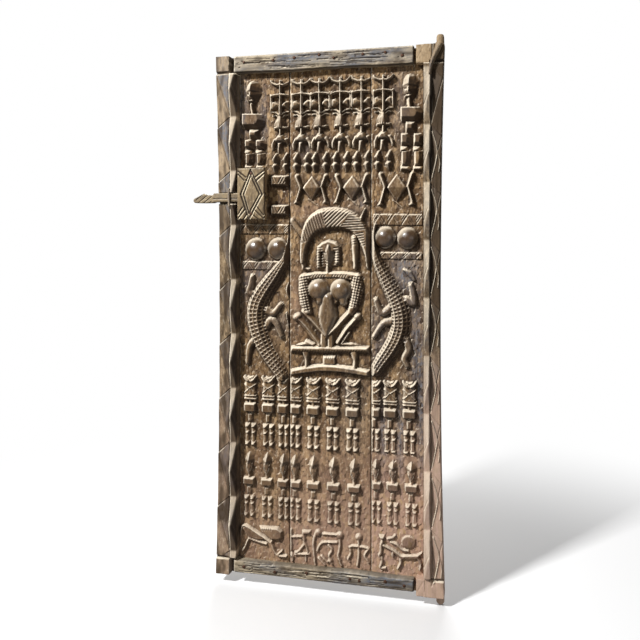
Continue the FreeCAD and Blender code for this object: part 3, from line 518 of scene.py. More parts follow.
def lozenge(c, centre, half_wide, top, bottom, rise=27):
    """A diamond of two facets that meet in a level crease, between two legs bent in to its side corners."""
    x, z = centre
    cells, gx, gz = c.window([(x - half_wide, z - bottom), (x + half_wide, z + top)], 1)
    reach = np.abs(gx - x) / half_wide
    high = np.where(gz > z, (gz - z) / top, (z - gz) / bottom)
    inside = 1 - reach - high
    facet = 6 + (rise - 6) * (1 - high)
    c.raise_to(cells, np.where(inside > 0, np.minimum(facet, inside * half_wide * 3.2), 0), 0.35)
    for side in (-1, 1):
        near, far_top, far_low = (x + side * (half_wide + reach_mm) for reach_mm in (3, 19, 20))
        shape = "ridge" if side > 0 else "lit_left"
        bar(c, [(far_top, z + top * 0.98), (near, z + 4)], [21, 13], 27, shape, stain_and_shade=0.15)
        bar(c, [(near, z + 5), (far_low, z - bottom)], [13, 15], 26, "ridge", stain_and_shade=0.1)
        foot = [(far_low - 17, z - bottom * 1.22), (far_low + 15, z - bottom * 1.22),
                (far_low + 6, z - bottom * 0.88), (far_low - 6, z - bottom * 0.88)]
        hip(c, foot, 19, (6, 8, 9, 4), stain_and_shade=0.5)
    bar(c, [(x - 14, z - bottom * 0.86), (x, z - bottom * 1.02), (x + 20, z - bottom * 1.35)], 6, 7, "ridge")


def tall_figure(c, head, chest, waist, legs, front):
    """A tall standing figure: the left, top, right and bottom pixels of its parts, and its chest's stain."""
    def corners(left, top, right, low):
        return seen([(left, low), (right, low), (right, top), (left, top)])

    left, top, right, low = head
    wide, tall = right - left, low - top

    def on_head(shares):
        return seen([(left + across * wide, top + down * tall) for across, down in shares])

    # The face first, then the cap above it, proud of the brow
    face = [(0.5, 0), (0.24, 0.05), (0.06, 0.22), (0, 0.42), (0.08, 0.66), (0.26, 0.93), (0.38, 1),
            (0.56, 0.97), (0.84, 0.74), (1, 0.5), (0.98, 0.3), (0.8, 0.08)]
    cap = [(0.5, 0), (0.24, 0.05), (0.06, 0.22), (0, 0.44), (0.36, 0.51), (0.74, 0.47), (1, 0.44),
           (0.98, 0.3), (0.8, 0.08)]
    hip(c, on_head(face), 36, (29, 46, 15, 12), stain_and_shade=0.75)
    hip(c, on_head(cap), 40, (28, 44, 15, 3), stain_and_shade=0.75, polish=0.3)
    hip(c, on_head([(0.22, 0.46), (0.40, 0.46), (0.50, 0.66), (0.24, 0.68)]), 37, (9, 3, 8, 2), stain_and_shade=0.1)
    groove(c, on_head([(0.08, 0.52), (0.26, 0.57)]), 7, 8, least=8)
    groove(c, on_head([(0.18, 0.75), (0.48, 0.75)]), 8, 9, least=12)
    bar(c, on_head([(0.20, 0.82), (0.46, 0.82)]), 9, 29, "ridge")
    groove(c, on_head([(0.24, 0.89), (0.48, 0.90)]), 6, 6, least=12)
    neck_low = place(((waist[0] + waist[2]) / 2 - 0.6, chest[1] + 1))
    bar(c, [on_head([(0.42, 0.95)])[0], neck_low], [18, 20], 24, "lit_left", stain_and_shade=0.1)
    left, top, right, low = chest
    trunk = [(left + 0.8, low), (right - 6.5, low), (right - 1.8, low - 3.6), (right, low - 8.6),
             (right - 4, top), (left, top), (left, low - 3)]
    hip(c, seen(trunk), 34, (3, 32, 3, 19), stain_and_shade=front)
    hip(c, corners(*waist), 27, (5, 18, 16, 24), stain_and_shade=0.5)
    leg_left, leg_top, leg_right, leg_low = legs
    wide, tall = (leg_right - leg_left) / 2, leg_low - leg_top
    for number in (0, 1):
        a = leg_left + number * wide * 1.03

        def on_leg(shares):
            return seen([(a + across * wide, leg_top + down * tall) for across, down in shares])

        thigh = [(0.05, 0), (0.7, 0), (1, 0.14), (0.9, 0.34), (0.05, 0.34)]
        shin = [(0.08, 0.46), (0.88, 0.46), (0.92, 0.66), (0.74, 0.9), (0.1, 0.9)]
        knee = [(0, 0.33), (0.62, 0.33), (0.82, 0.5), (0, 0.5)]
        foot = [(0, 0.86), (0.7, 0.86), (0.95, 0.94), (0.9, 1.02), (0, 1.02)]
        hip(c, on_leg(thigh), 29, (4, 22, 5, 12), stain_and_shade=0.9)
        hip(c, on_leg(shin), 22, (4, 20, 5, 9), stain_and_shade=0.9 - 0.7 * number)
        hip(c, on_leg(knee), 28, (4, 22, 17, 4))
        hip(c, on_leg(foot), 25, (4, 18, 15, 8))


def paw(c, wrist, heading, size=11.0, rise=13):
    """Three short fingers fanned from a wrist."""
    for spread in (-0.6, 0.0, 0.6):
        turn = heading + spread
        tip = (wrist[0] + size * math.cos(turn), wrist[1] + size * math.sin(turn))
        bar(c, [wrist, tip], [7, 5], rise, "round", stain_and_shade=0.2)


def beast_leg(c, pixels, width=27.0):
    """A bent leg that narrows to its paw."""
    path = seen(pixels)
    widths = np.linspace(width * 1.15, width * 0.72, len(path))
    bar(c, path, widths, 19, "round", stain_and_shade=0.4, polish=0.4, curved=len(path) > 2)
    run = path[-1] - path[-2]
    paw(c, path[-1], math.atan2(run[1], run[0]))


def place(pixel):
    """Across and up, in millimetres on the carved face, of one pixel of the photograph."""
    return seen([pixel])[0]


def dome_pair(c, pairs):
    """Round shields: a middle in the photograph, and a radius."""
    for pixel, radius in pairs:
        dome(c, place(pixel), (radius, radius * 1.03), 35, stain_and_shade=1.0, polish=1.0)


def strokes(c, lines, rise, shape, stain_and_shade):
    """Bars along paths of the photograph, each with its own widths, and rounded where they bend."""
    for pixels, widths in lines:
        bar(c, seen(pixels), widths, rise, shape, stain_and_shade=stain_and_shade, curved=len(pixels) > 2)


def crocodile(c, spine_pixels, widths, legs, rise, stain_and_shade, scale_pitch, least):
    """A long beast: its legs, a lengthwise swelling that narrows to head and tail, and its scales."""
    for pixels in legs:
        beast_leg(c, pixels)
    spine = seen(spine_pixels)
    bar(c, spine, widths, rise, "beast", stain_and_shade=stain_and_shade, curved=True)
    scales(c, spine, widths, 5, scale_pitch, 4.5, least)


# Left plank

# Middles of the figures of the left plank's two rows
LEFT_MASKS = (-742.5, -668.5, -606.0)
LEFT_ALMONDS = (-747.0, -674.0, -606.5)
# Heights of a row's chest, waist, thigh, knee, ankle and sole
LEFT_MASK_LEVELS = (679, 640, 598, 568, 532, 508)
LEFT_ALMOND_LEVELS = (384, 351, 312, 287, 250, 225)

# Corners of the bands over and under the left pair of domes, in the photograph
BAND_OVER_LEFT_DOMES = [(238.5, 234), (290.6, 234), (290.6, 224.6), (238.5, 224.0)]
BAND_UNDER_LEFT_DOMES = [(241.5, 269.6), (284, 270), (284, 261.4), (241.5, 261)]


def left_plank_forms(c):
    """The left plank: a tall figure, a dancer, the bolt's stops, bands, domes, a crocodile and two rows."""
    head, chest = (245, 80, 261.5, 106), (242.8, 113.6, 265.6, 129.5)
    waist, legs = (249.0, 128.5, 259.5, 141), (244.6, 139.5, 266, 168.5)
    tall_figure(c, head, chest, waist, legs, 0.0)
    dancer_middle = (280.1, 120)
    dancer(c, place(dancer_middle)[0], 1)
    bolt_stops(c, (175.6, 186.5), (205.0, 215.8))
    triangle_band(c, BAND_OVER_LEFT_DOMES, 7, 7)
    triangle_band(c, BAND_UNDER_LEFT_DOMES, 7, 7)
    dome_pair(c, (((255.2, 249.3), 43), ((277.4, 248.8), 41)))
    left_crocodile(c)
    for x, wide in zip(LEFT_MASKS, (49, 49, 47)):
        mask_figure(c, x, 783, LEFT_MASK_LEVELS, wide)
    for x in LEFT_ALMONDS:
        almond_figure(c, x, 484, LEFT_ALMOND_LEVELS, 48)
    left_foot_scene(c)


def bolt_stops(c, upper, lower):
    """Two raised blocks beyond the lock, hatched aslant, that the withdrawn bolt runs between."""
    left, right = 271.2, 290
    for top, low in (upper, lower):
        hip(c, seen([(left, low), (right, low), (right, top), (left, top)]), 27, (3, 4, 3, 9), stain_and_shade=0.15)
        for first in (7.4, 10.2, 13.0):
            groove(c, seen([(left + first, low - 2.8), (left + first + 4.0, top + 0.8)]), 5.5, 6)
        for first in (1.2, 3.8):
            groove(c, seen([(left + first, top + 0.8), (left + first + 2.8, low - 3)]), 5.5, 6)


def left_crocodile(c):
    """The left crocodile, its tail up and its head at the plank's seam, and two bundles of rays beside it."""
    spine = [(289.0, 228), (288.4, 244), (286.0, 258), (279.6, 269), (271.6, 281), (263.4, 293), (258.0, 304),
             (256.2, 316), (258.2, 330), (263.4, 344.5), (270, 356.5), (277.6, 368), (282.5, 376)]
    widths = [10, 18, 32, 52, 70, 80, 84, 82, 78, 72, 66, 58, 46]
    upper_left = ((257, 297), (249, 292), (250.4, 285), (251.6, 277))
    upper_right = ((266, 310), (273, 313.5), (280, 305))
    lower_right = ((266, 326), (271, 320), (276.5, 325), (281.3, 336))
    lower_left = ((257, 338), (249.6, 346), (247.5, 362))
    crocodile(c, spine, widths, (upper_left, upper_right, lower_right, lower_left), 33, 0.2, 15.0, 7.0)
    upper_bundle = ((290, 279), (287.2, 290), (290.5, 302))
    lower_bundle = ((285.8, 313), (289.6, 330), (289.5, 352))
    for pixels, cuts in ((upper_bundle, 9), (lower_bundle, 12)):
        path = seen(pixels)
        bar(c, path, [5, 17, 5], 15, "round", stain_and_shade=0.4, curved=True)
        start, end = path[0], path[-1]
        for share in np.linspace(0.14, 0.86, cuts):
            z = start[1] + (end[1] - start[1]) * share
            groove(c, [(start[0] - 14, z - 2), (start[0] + 14, z + 3)], 4, 4, least=4)


def left_foot_scene(c):
    """The foot of the plank: a long beaked head on a bent neck, and a broad head with teeth."""
    beak = [(241.5, 529.5), (243.5, 525.6), (248, 527.4), (262, 537), (266, 541), (258, 541.5), (248, 538.6)]
    neck = [(240.8, 536), (241.2, 529.5), (244.5, 525.8), (258, 534.3), (270, 543), (276.5, 555), (286, 557)]
    jaw = [(248.5, 538.5), (257, 541.5), (266, 544.4)]
    fore_leg = [(248.3, 539), (244.4, 548), (241.8, 551.6)]
    hind_foot = [(277, 555.5), (281.5, 551.6)]
    broad_head = [(258, 526.5), (278, 528), (283, 532), (283.2, 538), (279.5, 541.6), (271.5, 541),
                  (262, 533.5)]
    first_tooth, tooth_pitch = (260, 527.6), 2.1
    chin = [(271.6, 541), (271, 544.5)]
    hip(c, seen(beak), 13, (3, 5, 4, 8), stain_and_shade=0.5)
    bar(c, seen(neck), [7, 8, 9, 9, 9, 8, 8], 16, "round", curved=True)
    bar(c, seen(jaw), 8, 15, "round")
    bar(c, seen(fore_leg), 9, 13, "round", stain_and_shade=0.3)
    bar(c, seen(hind_foot), 8, 13, "round")
    hip(c, seen(broad_head), 18, (3, 10, 4, 10), stain_and_shade=0.25)
    for number in range(6):
        u, v = first_tooth[0] + number * tooth_pitch, first_tooth[1]
        groove(c, seen([(u, v), (u + 0.6, v + 2.8)]), 4, 6, least=4)
    bar(c, seen(chin), 8, 14, "round")


# Middle plank

def arch_beast(c):
    """The arched animal over the seated figure: a tapered, hatched band, two horns and three legs."""
    back = [(302.6, 262), (303.2, 249), (306.4, 236.2), (312.8, 225.6), (321.5, 220.4), (332.5, 218.6),
            (344, 219.4), (353.5, 223.6), (360.4, 231), (364.6, 240.5), (368, 254), (368.8, 268)]
    widths = [17, 24, 46, 74, 90, 88, 84, 76, 62, 44, 27, 15]
    right_leg, left_leg = [(354.4, 238), (355.3, 268)], [(302.9, 252), (303.6, 268)]
    left_hoof = [(304, 268), (308.5, 269.5)]
    left_horn = [(291.5, 220.5), (297, 228.5), (303.6, 236.5)]
    right_horn = [(365, 209), (361.6, 218), (361.8, 227), (366, 240), (368.6, 254)]
    bar(c, seen(back), widths, 29, "flat", curved=True, stain_and_shade=0.1)
    bar(c, seen(right_leg), [26, 15], 25, "round")
    bar(c, seen(left_hoof), 11, 14, "round", stain_and_shade=0.4)
    bar(c, seen(left_leg), [19, 15], 22, "round")
    bar(c, seen(left_horn), [18, 22, 26], 17, "round", curved=True)
    bar(c, seen(right_horn), [6, 12, 12, 15, 15], 24, "lit_left", curved=True)
    rump = [(300, 244), (308, 209), (321, 206), (327, 233), (318, 237), (306, 247)]
    flank = [(322, 206), (350, 206), (351, 211), (335, 234), (327.5, 234)]
    shoulder = [(351.5, 212), (365, 214), (366, 230), (344, 230.5), (338, 230.5)]
    inner_leg = [(344, 231), (354.5, 231), (357, 245), (351, 245)]
    outer_leg = [(355.5, 231), (364, 231), (366, 246), (358.5, 246)]
    # Each patch's hatching: its slant in degrees, its pitch, its depth, and how high the wood must stand
    for patch, slant, pitch, depth, least in (
            (rump, -72, 10.5, 7.5, 12), (flank, 44, 11.0, 8.0, 12), (shoulder, 3, 9.5, 7.0, 12),
            (inner_leg, 5, 9.5, 6.5, 9), (outer_leg, 8, 9.5, 6.5, 9)):
        hatch(c, seen(patch), slant, pitch, depth, least=least)


def seated_head(c):
    """A head in two large facets that meet on a sharp upright ridge, between two panels of braided hair."""
    cap = [(317, 252), (317.4, 246), (321.4, 242.4), (328.5, 239.4), (336, 241.8), (340, 245.2), (340.6, 252)]
    shade = [(318, 268), (339, 266), (340, 247), (318, 247)]
    face = [(328.4, 239.8), (323, 245), (320.8, 252), (322, 259.5), (325.6, 268), (330.4, 268.6),
            (334.4, 260), (335.8, 252), (334, 245)]
    hip(c, seen(cap), 22, (6, 9, 7, 3), stain_and_shade=0.35)
    hip(c, seen(shade), 9, (3, 4, 3, 3), stain_and_shade=0.8)
    # Each panel of hair: its left, right and lower edges in the photograph, and its stain
    hair_top, first_braid, braid_pitch = 246, 247.5, 2.6
    for left, right, low, dark in ((316.6, 321.6, 268.4, 0.4), (335.0, 340.8, 264.6, 0.95)):
        panel = [(left, low), (right, low), (right, hair_top), (left, hair_top)]
        hip(c, seen(panel), 22, (4, 7, 5, 3), stain_and_shade=dark)
        for v in np.arange(first_braid, low - 1, braid_pitch):
            groove(c, seen([(left - 1, v + 0.4), (right + 1, v)]), 6, 7, least=5)
    hip(c, seen(face), 33, (29, 25, 9, 9), stain_and_shade=0.6, polish=0.5)
    neck = [(327.4, 262), (328.2, 276)]
    bar(c, seen(neck), [19, 24], 24, "ridge", stain_and_shade=0.2)
    left_eye, right_eye = [(323.4, 252.0), (326.4, 253.4)], [(330.6, 253.2), (333.8, 251.6)]
    groove(c, seen(left_eye), 7, 6, least=12)
    groove(c, seen(right_eye), 6, 5, least=12)
    # Three short cuts below the nose, each shorter than the last
    middle = 327.6
    for v, reach in ((260.6, 2.6), (263.4, 2.4), (266.2, 1.8)):
        cut = [(middle - reach, v - 0.9), (middle - 0.2, v), (middle + reach, v + 0.4)]
        groove(c, seen(cut), 5, 7, least=8)


def seated_body(c):
    """Shoulders and arms cut with a grid, two round breasts, a narrow belly, and bent arms and legs."""
    collar = [(302, 278.6), (314, 276), (328, 275), (344, 275.6), (357, 277.8)]
    ribs = [(310, 277), (349, 277), (346, 296), (336, 306), (321, 306), (312, 296)]
    left_arm = [(303.6, 279), (304, 291), (305, 303), (308, 312)]
    right_arm = [(356.4, 279), (356.6, 291), (354.6, 303), (351, 312)]
    bar(c, seen(collar), [32, 28, 22, 28, 32], 22, "flat", curved=True)
    hip(c, seen(ribs), 14, (8, 8, 3, 10))
    bar(c, seen(left_arm), [42, 46, 41, 30], 28, curved=True)
    bar(c, seen(right_arm), [44, 50, 42, 30], 28, curved=True)
    left_sleeve = [(296, 276), (311.5, 276), (312, 312), (301, 312)]
    right_sleeve = [(348, 276), (363, 276), (362, 307), (348, 307)]
    cross_hatch(c, seen(left_sleeve), 12, 10.5, 7.5, least=9)
    cross_hatch(c, seen(right_sleeve), -12, 10.5, 7.0, least=9)
    collar_top, collar_low = 273.6, 278.5
    for left, right in ((311, 326), (331, 348)):
        band = [(left, collar_top), (right, collar_top), (right, collar_low), (left, collar_low)]
        hatch(c, seen(band), 60, 9, 5, least=9)
    belly = [(328, 298), (327.9, 308), (327.6, 316), (327.0, 325), (326.7, 335)]
    belly_line = [(327.5, 306), (327.0, 322)]
    bar(c, seen(belly), [50, 66, 74, 56, 16], 33, curved=True, polish=0.7, stain_and_shade=0.45)
    groove(c, seen(belly_line), 8, 2.5, least=10)
    left_breast, right_breast = ((318.9, 289.6), (320.2, 301.0)), ((340.9, 290), (343.6, 302.4))
    for middle, tip in (left_breast, right_breast):
        bar(c, seen([middle, tip]), [76, 30], 30, "round", stain_and_shade=0.5, polish=0.9)
        dome(c, place(middle), (44, 45), 42, stain_and_shade=0.55, polish=1.0)
    seated_limbs(c)


def seated_limbs(c):
    """Folded legs outside and forearms inside, all bent to a point under the belly, over knees and feet."""
    left_leg = ((297.4, 317.5), (307, 328), (319.5, 345.5))
    right_leg = ((357.2, 317.6), (347, 329), (338, 343))
    left_forearm = ((303.6, 311.5), (315.5, 324), (327, 337))
    right_forearm = ((350.6, 311.5), (338.5, 325), (326.6, 337))
    left_shin, right_shin = ((306, 341.5), (313, 345)), ((349, 333), (341.5, 344))
    for pixels, widths, rise, shape in (
            (left_leg, (31, 33, 26), 25, "ridge"), (right_leg, (30, 31, 22), 27, "ridge"),
            (left_forearm, (27, 29, 26), 27, "ridge"), (right_forearm, (27, 29, 26), 28, "ridge"),
            (left_shin, (12, 12), 18, "round"), (right_shin, (15, 12), 21, "ridge")):
        bar(c, seen(pixels), widths, rise, shape, stain_and_shade=0.12)
    left_crease = [(300, 321.5), (309, 331.5), (318, 344)]
    right_crease = [(354.5, 322.5), (346, 333), (340, 342)]
    for crease in (left_crease, right_crease):
        groove(c, seen(crease), 7, 8, least=8)
    wrist_top, wrist_low = 336, 346
    for u in (323.4, 330.4):
        bar(c, seen([(u, wrist_top), (u, wrist_low)]), 25, 19, "flat", stain_and_shade=0.35)
    left_knee, right_knee = (296.9, 317.2), (357.4, 317)
    dome(c, place(left_knee), (17, 16), 28, polish=0.8)
    dome(c, place(right_knee), (15, 15), 28, polish=0.6)
    left_foot = [(293.5, 345.6), (302, 342.6), (309, 341.2), (313.5, 345.6)]
    right_foot = [(338.5, 345.6), (343, 342.4), (352, 343.4), (361, 345.6)]
    for corners in (left_foot, right_foot):
        hip(c, seen(corners), 17, (4, 4, 5, 3))


def stool(c):
    """A round stool seen from its side: hatched seat, two waisted posts, a hatched block and a bowed foot."""
    seat = [(290.8, 353.6), (369, 354.2), (369, 346.8), (290.8, 346.0)]
    seat_hatch = [(296, 353.4), (366, 354.2), (366, 349.6), (296, 349.2)]
    hip(c, seen(seat), 24, (2, 3, 5, 14), stain_and_shade=0.15)
    hatch(c, seen(seat_hatch), 55, 8.5, 4.5, least=3)
    # Each post's middle, top and foot
    for u, top, low in ((306.3, 352.6, 367.2), (354.6, 353.2, 368.0)):
        post = [(u - 0.6, top), (u + 0.2, (top + low) / 2), (u - 0.1, low)]
        bar(c, seen(post), [30, 13, 16], 19, "round", curved=True, stain_and_shade=0.1)
    block = [(322.6, 364.8), (335.4, 365.0), (335.4, 355.9), (322.6, 355.6)]
    block_hatch = [(323, 359.5), (335, 359.8), (335, 356), (323, 356)]
    hip(c, seen(block), 13, (3, 4, 7, 3), stain_and_shade=0.35)
    hatch(c, seen(block_hatch), 90, 8.5, 4, least=3)
    foot = [(290.6, 372.5), (306, 369.9), (323, 368.1), (342, 369.3), (369, 373.7)]
    bar(c, seen(foot), [22, 25, 27, 26, 23], 23, "flat", curved=True)


# Middles of the figures of the middle plank's two rows, and the heights of their parts
MIDDLE_MASKS = (-560.5, -486.5, -409.5, -332.0)
MIDDLE_ALMONDS = (-560.0, -486.0, -406.0, -325.5)
MIDDLE_MASK_LEVELS = (679, 641, 600, 571, 533, 509)
MIDDLE_ALMOND_LEVELS = (385, 352, 314, 289, 248, 226)


def middle_plank_forms(c):
    """The middle plank: four dancers, two lozenges, the arched animal, the seated figure and two rows."""
    mast_level = 120
    for number, u in enumerate((301.2, 319.8, 340.6, 361.4)):
        dancer(c, place((u, mast_level))[0], number + 2)
    left_lozenge, right_lozenge = (311.2, 187.8), (351.6, 187.4)
    for pixel in (left_lozenge, right_lozenge):
        lozenge(c, place(pixel), 38, 46, 50)
    arch_beast(c)
    seated_head(c)
    seated_body(c)
    stool(c)
    for x in MIDDLE_MASKS:
        mask_figure(c, x, 784, MIDDLE_MASK_LEVELS, 52)
    for x in MIDDLE_ALMONDS:
        almond_figure(c, x, 484, MIDDLE_ALMOND_LEVELS, 52)
    middle_foot_scene(c)


def middle_foot_scene(c):
    """The foot of the plank: small people among posts and hoops, each line with its widths."""
    gate = ((((290.4, 530.5), (290.4, 550)), (9, 9)), (((291.6, 537.5), (301, 537.5)), (9, 8)))
    sitter = ((((303, 533), (303.5, 540), (304.5, 545)), (13, 13, 11)),
              (((304, 545), (298.2, 552), (294.6, 553.2)), (9, 8, 7)), (((305, 545), (307.4, 553)), (9, 7)))
    bench = ((((294.6, 555), (309, 555)), (8, 8)), (((292.6, 557), (291.8, 562)), (8, 6)),
             (((305.2, 556), (305.4, 562.5)), (8, 6)))
    loom = ((((316, 534), (313.6, 540), (313.4, 551), (315, 566)), (14, 11, 10, 9)),
            (((322, 534.8), (336.5, 535.8)), (8, 8)), (((321.5, 544), (325, 543), (336.4, 543.6)), (8, 8, 9)),
            (((322, 543), (318.4, 547.5), (317, 552)), (9, 9, 8)),
            (((339.6, 540), (339.4, 550), (338, 557), (341, 567)), (11, 10, 9, 9)))
    weaver = ((((328, 546), (331.5, 551), (328.6, 557), (331.4, 565)), (9, 10, 9, 11)),
              (((318, 559), (324.5, 566)), (7, 7)), (((321, 557), (327, 563.5)), (7, 7)))
    walker = ((((358.2, 540), (358.4, 557), (357, 567)), (9, 9, 10)),
              (((349, 548), (353, 547), (364, 548.4), (368.6, 550)), (8, 9, 9, 8)),
              (((349.2, 548), (350.6, 554), (347.6, 560), (349.4, 563)), (8, 9, 8, 6)),
              (((368.2, 550), (364.4, 557), (369.6, 565)), (8, 9, 7)))
    strokes(c, gate + sitter + bench + loom + weaver + walker, 10.5, "round", 0.1)
    hat = [(301.5, 535.6), (310.5, 535), (310.8, 531), (301, 530.5)]
    hip(c, seen(hat), 12, (3, 6, 5, 5), stain_and_shade=0.3)
    # Heads and knobs: a middle in the photograph and a radius
    left_head, right_head, walker_head = ((317.6, 533.8), 13), ((339.4, 536.6), 14), ((358.3, 538.4), 13)
    shuttle, hinge = ((329.8, 562), 9), ((290.4, 556), 9)
    for pixel, radius in (left_head, right_head, walker_head, shuttle, hinge):
        dome(c, place(pixel), (radius, radius), 13, stain_and_shade=0.35, polish=0.3)


# Right plank

# Middles and widths of the figures of the right plank's two rows, and the heights of their parts
RIGHT_MASKS = ((-247.0, 786, 46, 0.75), (-186.5, 788, 50, 0.8), (-114.0, 789, 50, 0.85))
RIGHT_ALMONDS = ((-241.0, 44), (-177.0, 47), (-107.0, 50))
RIGHT_MASK_LEVELS = (684, 647, 604, 574, 532, 516)
RIGHT_ALMOND_LEVELS = (404, 371, 330, 306, 264, 242)

# Corners of the bands over and under the right pair of domes, in the photograph
BAND_OVER_RIGHT_DOMES = [(372.6, 225.2), (422.6, 225.6), (422.6, 214.2), (372.6, 213.8)]
BAND_UNDER_RIGHT_DOMES = [(376, 259.2), (422, 259.6), (422, 252.6), (378, 252)]


def right_plank_forms(c):
    """The right plank: a tall figure, a dancer, a lozenge, bands, domes, the other crocodile and two rows."""
    head, chest = (402, 72.6, 419.6, 101), (400.6, 106.6, 424.5, 122)
    waist, legs = (405.4, 120, 416.5, 134.5), (400.2, 133, 425, 170)
    tall_figure(c, head, chest, waist, legs, 0.4)
    dancer_middle, lozenge_middle = (383.2, 120), (396.6, 187.4)
    dancer(c, place(dancer_middle)[0], 7)
    lozenge(c, place(lozenge_middle), 40, 52, 56)
    triangle_band(c, BAND_OVER_RIGHT_DOMES, 7, 7)
    triangle_band(c, BAND_UNDER_RIGHT_DOMES, 7, 7)
    dome_pair(c, (((384.9, 237.6), 41), ((407.6, 238.4), 40)))
    right_crocodile(c)
    for x, top, wide, stain_and_shade in RIGHT_MASKS:
        mask_figure(c, x, top, RIGHT_MASK_LEVELS, wide, stain_and_shade)
    for x, wide in RIGHT_ALMONDS:
        almond_figure(c, x, 489, RIGHT_ALMOND_LEVELS, wide, 0.85)
    right_foot_scene(c)


def right_crocodile(c):
    """The right crocodile, its tail at the plank's seam, and a curled lizard tail beside it."""
    spine = [(375.4, 225), (373.4, 237), (374.6, 249), (378.4, 262), (385, 276), (391.4, 289), (398, 303),
             (401.0, 316), (400.8, 328), (397.0, 340), (390, 352), (382.0, 363), (376.6, 371)]
    widths = [10, 17, 28, 42, 54, 64, 72, 76, 76, 74, 70, 62, 54]
    curl = [(403.6, 269.5), (409, 273.5), (414, 280)]
    upper_right = ((405, 300), (413.5, 303.5), (412.8, 293), (410.8, 285.5))
    upper_left = ((391, 308), (381.5, 313), (376, 300.5))
    lower_left = ((391, 322), (383.2, 324), (374.5, 336))
    lower_right = ((404.5, 338), (408.6, 349), (404.6, 358.5), (407.2, 366))
    for pixels in (upper_right, upper_left, lower_left, lower_right):
        beast_leg(c, pixels)
    bar(c, seen(curl), [9, 20, 12], 14, "round", stain_and_shade=0.4, curved=True)
    crocodile(c, spine, widths, (), 32, 0.35, 14.0, 6.0)


def right_foot_scene(c):
    """The foot of the plank: a keeper with a beaked head, a long-legged animal, a bird and a disc."""
    keeper = ((((382.2, 542), (381, 546), (380.7, 553.5), (378.8, 556.4), (382, 561), (379.8, 568)),
               (9, 11, 12, 10, 10, 9)),
              (((379.8, 568.6), (385, 568.9)), (7, 7)),
              (((383, 546.2), (393, 551.6), (400, 557.4)), (9, 11, 14)))
    animal = ((((400.8, 558), (416.6, 557.8)), (16, 15)),
              (((400.6, 560), (400.6, 564), (397.6, 569.6)), (11, 10, 8)),
              (((416.6, 558), (420.6, 564.6), (419.8, 571)), (11, 9, 8)),
              (((417.5, 556.8), (421.4, 554)), (9, 7)))
    bird = ((((393.2, 553), (392.6, 556.6)), (11, 12)),
            (((390.6, 543), (396, 545.4), (401.4, 550.4), (408, 552)), (9, 13, 12, 8)),
            (((387.4, 539.6), (392.5, 538.4), (394.6, 536.4)), (8, 9, 9)))
    strokes(c, keeper + animal + bird, 12, "flat", 0.75)
    keeper_head = [(377.4, 535), (384.8, 536.4), (385.6, 539.8), (382.4, 542.4), (379.4, 539)]
    hip(c, seen(keeper_head), 18, (4, 8, 5, 8), stain_and_shade=0.75)
    disc = (408.4, 543.3)
    dome(c, place(disc), (27, 24), 12, stain_and_shade=0.6, power=0.22)


# Meshes

def make_mesh(name, points, faces, smooth):
    """A mesh from points and arrays of faces, each array with its own number of corners."""
    mesh = bpy.data.meshes.new(name)
    mesh.vertices.add(len(points))
    mesh.vertices.foreach_set("co", (np.asarray(points, float) * MM).ravel())
    corners = np.concatenate([f.ravel() for f in faces])
    sizes = np.concatenate([np.full(len(f), f.shape[1]) for f in faces])
    mesh.loops.add(len(corners))
    mesh.loops.foreach_set("vertex_index", corners.astype(np.int32))
    mesh.polygons.add(len(sizes))
    starts = np.concatenate([[0], np.cumsum(sizes)[:-1]])
    mesh.polygons.foreach_set("loop_start", starts.astype(np.int32))
    flags = np.concatenate([np.full(len(f), s) for f, s in zip(faces, smooth)])
    mesh.polygons.foreach_set("use_smooth", flags)
    mesh.update(calc_edges=True)
    mesh.validate()
    return mesh


def slab(front, back_y, coarse, first=0):
    """Points, faces and shading of a closed slab: a fine grid in front, a coarse one behind, and four walls.

    The grid runs up row by row, and rises to the viewer's right. The front faces -Y.
    """
    rows, columns = front.shape[:2]
    behind = front[::coarse, ::coarse].copy()
    behind[..., 1] = back_y
    points = np.vstack([front.reshape(-1, 3), behind.reshape(-1, 3)])
    f = first + np.arange(rows * columns).reshape(rows, columns)
    b = first + rows * columns + np.arange(behind[..., 0].size).reshape(behind.shape[:2])

    def quads(g):
        return np.stack([g[:-1, :-1], g[:-1, 1:], g[1:, 1:], g[1:, :-1]], axis=-1).reshape(-1, 4)

    def wall(near, far):
        """Faces between a fine edge and a coarse one, a fine run of several steps to each coarse step."""
        steps = np.arange(0, len(near) - 1, coarse)[:, None] + np.arange(coarse + 1)[None]
        return np.hstack([near[steps], far[1:, None], far[:-1, None]])

    walls = [wall(f[-1], b[-1]), wall(f[:, 0], b[:, 0]),
             wall(f[0], b[0])[:, ::-1], wall(f[:, -1], b[:, -1])[:, ::-1]]
    return points, [quads(f), quads(b)[:, ::-1]] + walls, [True] + [False] * 5


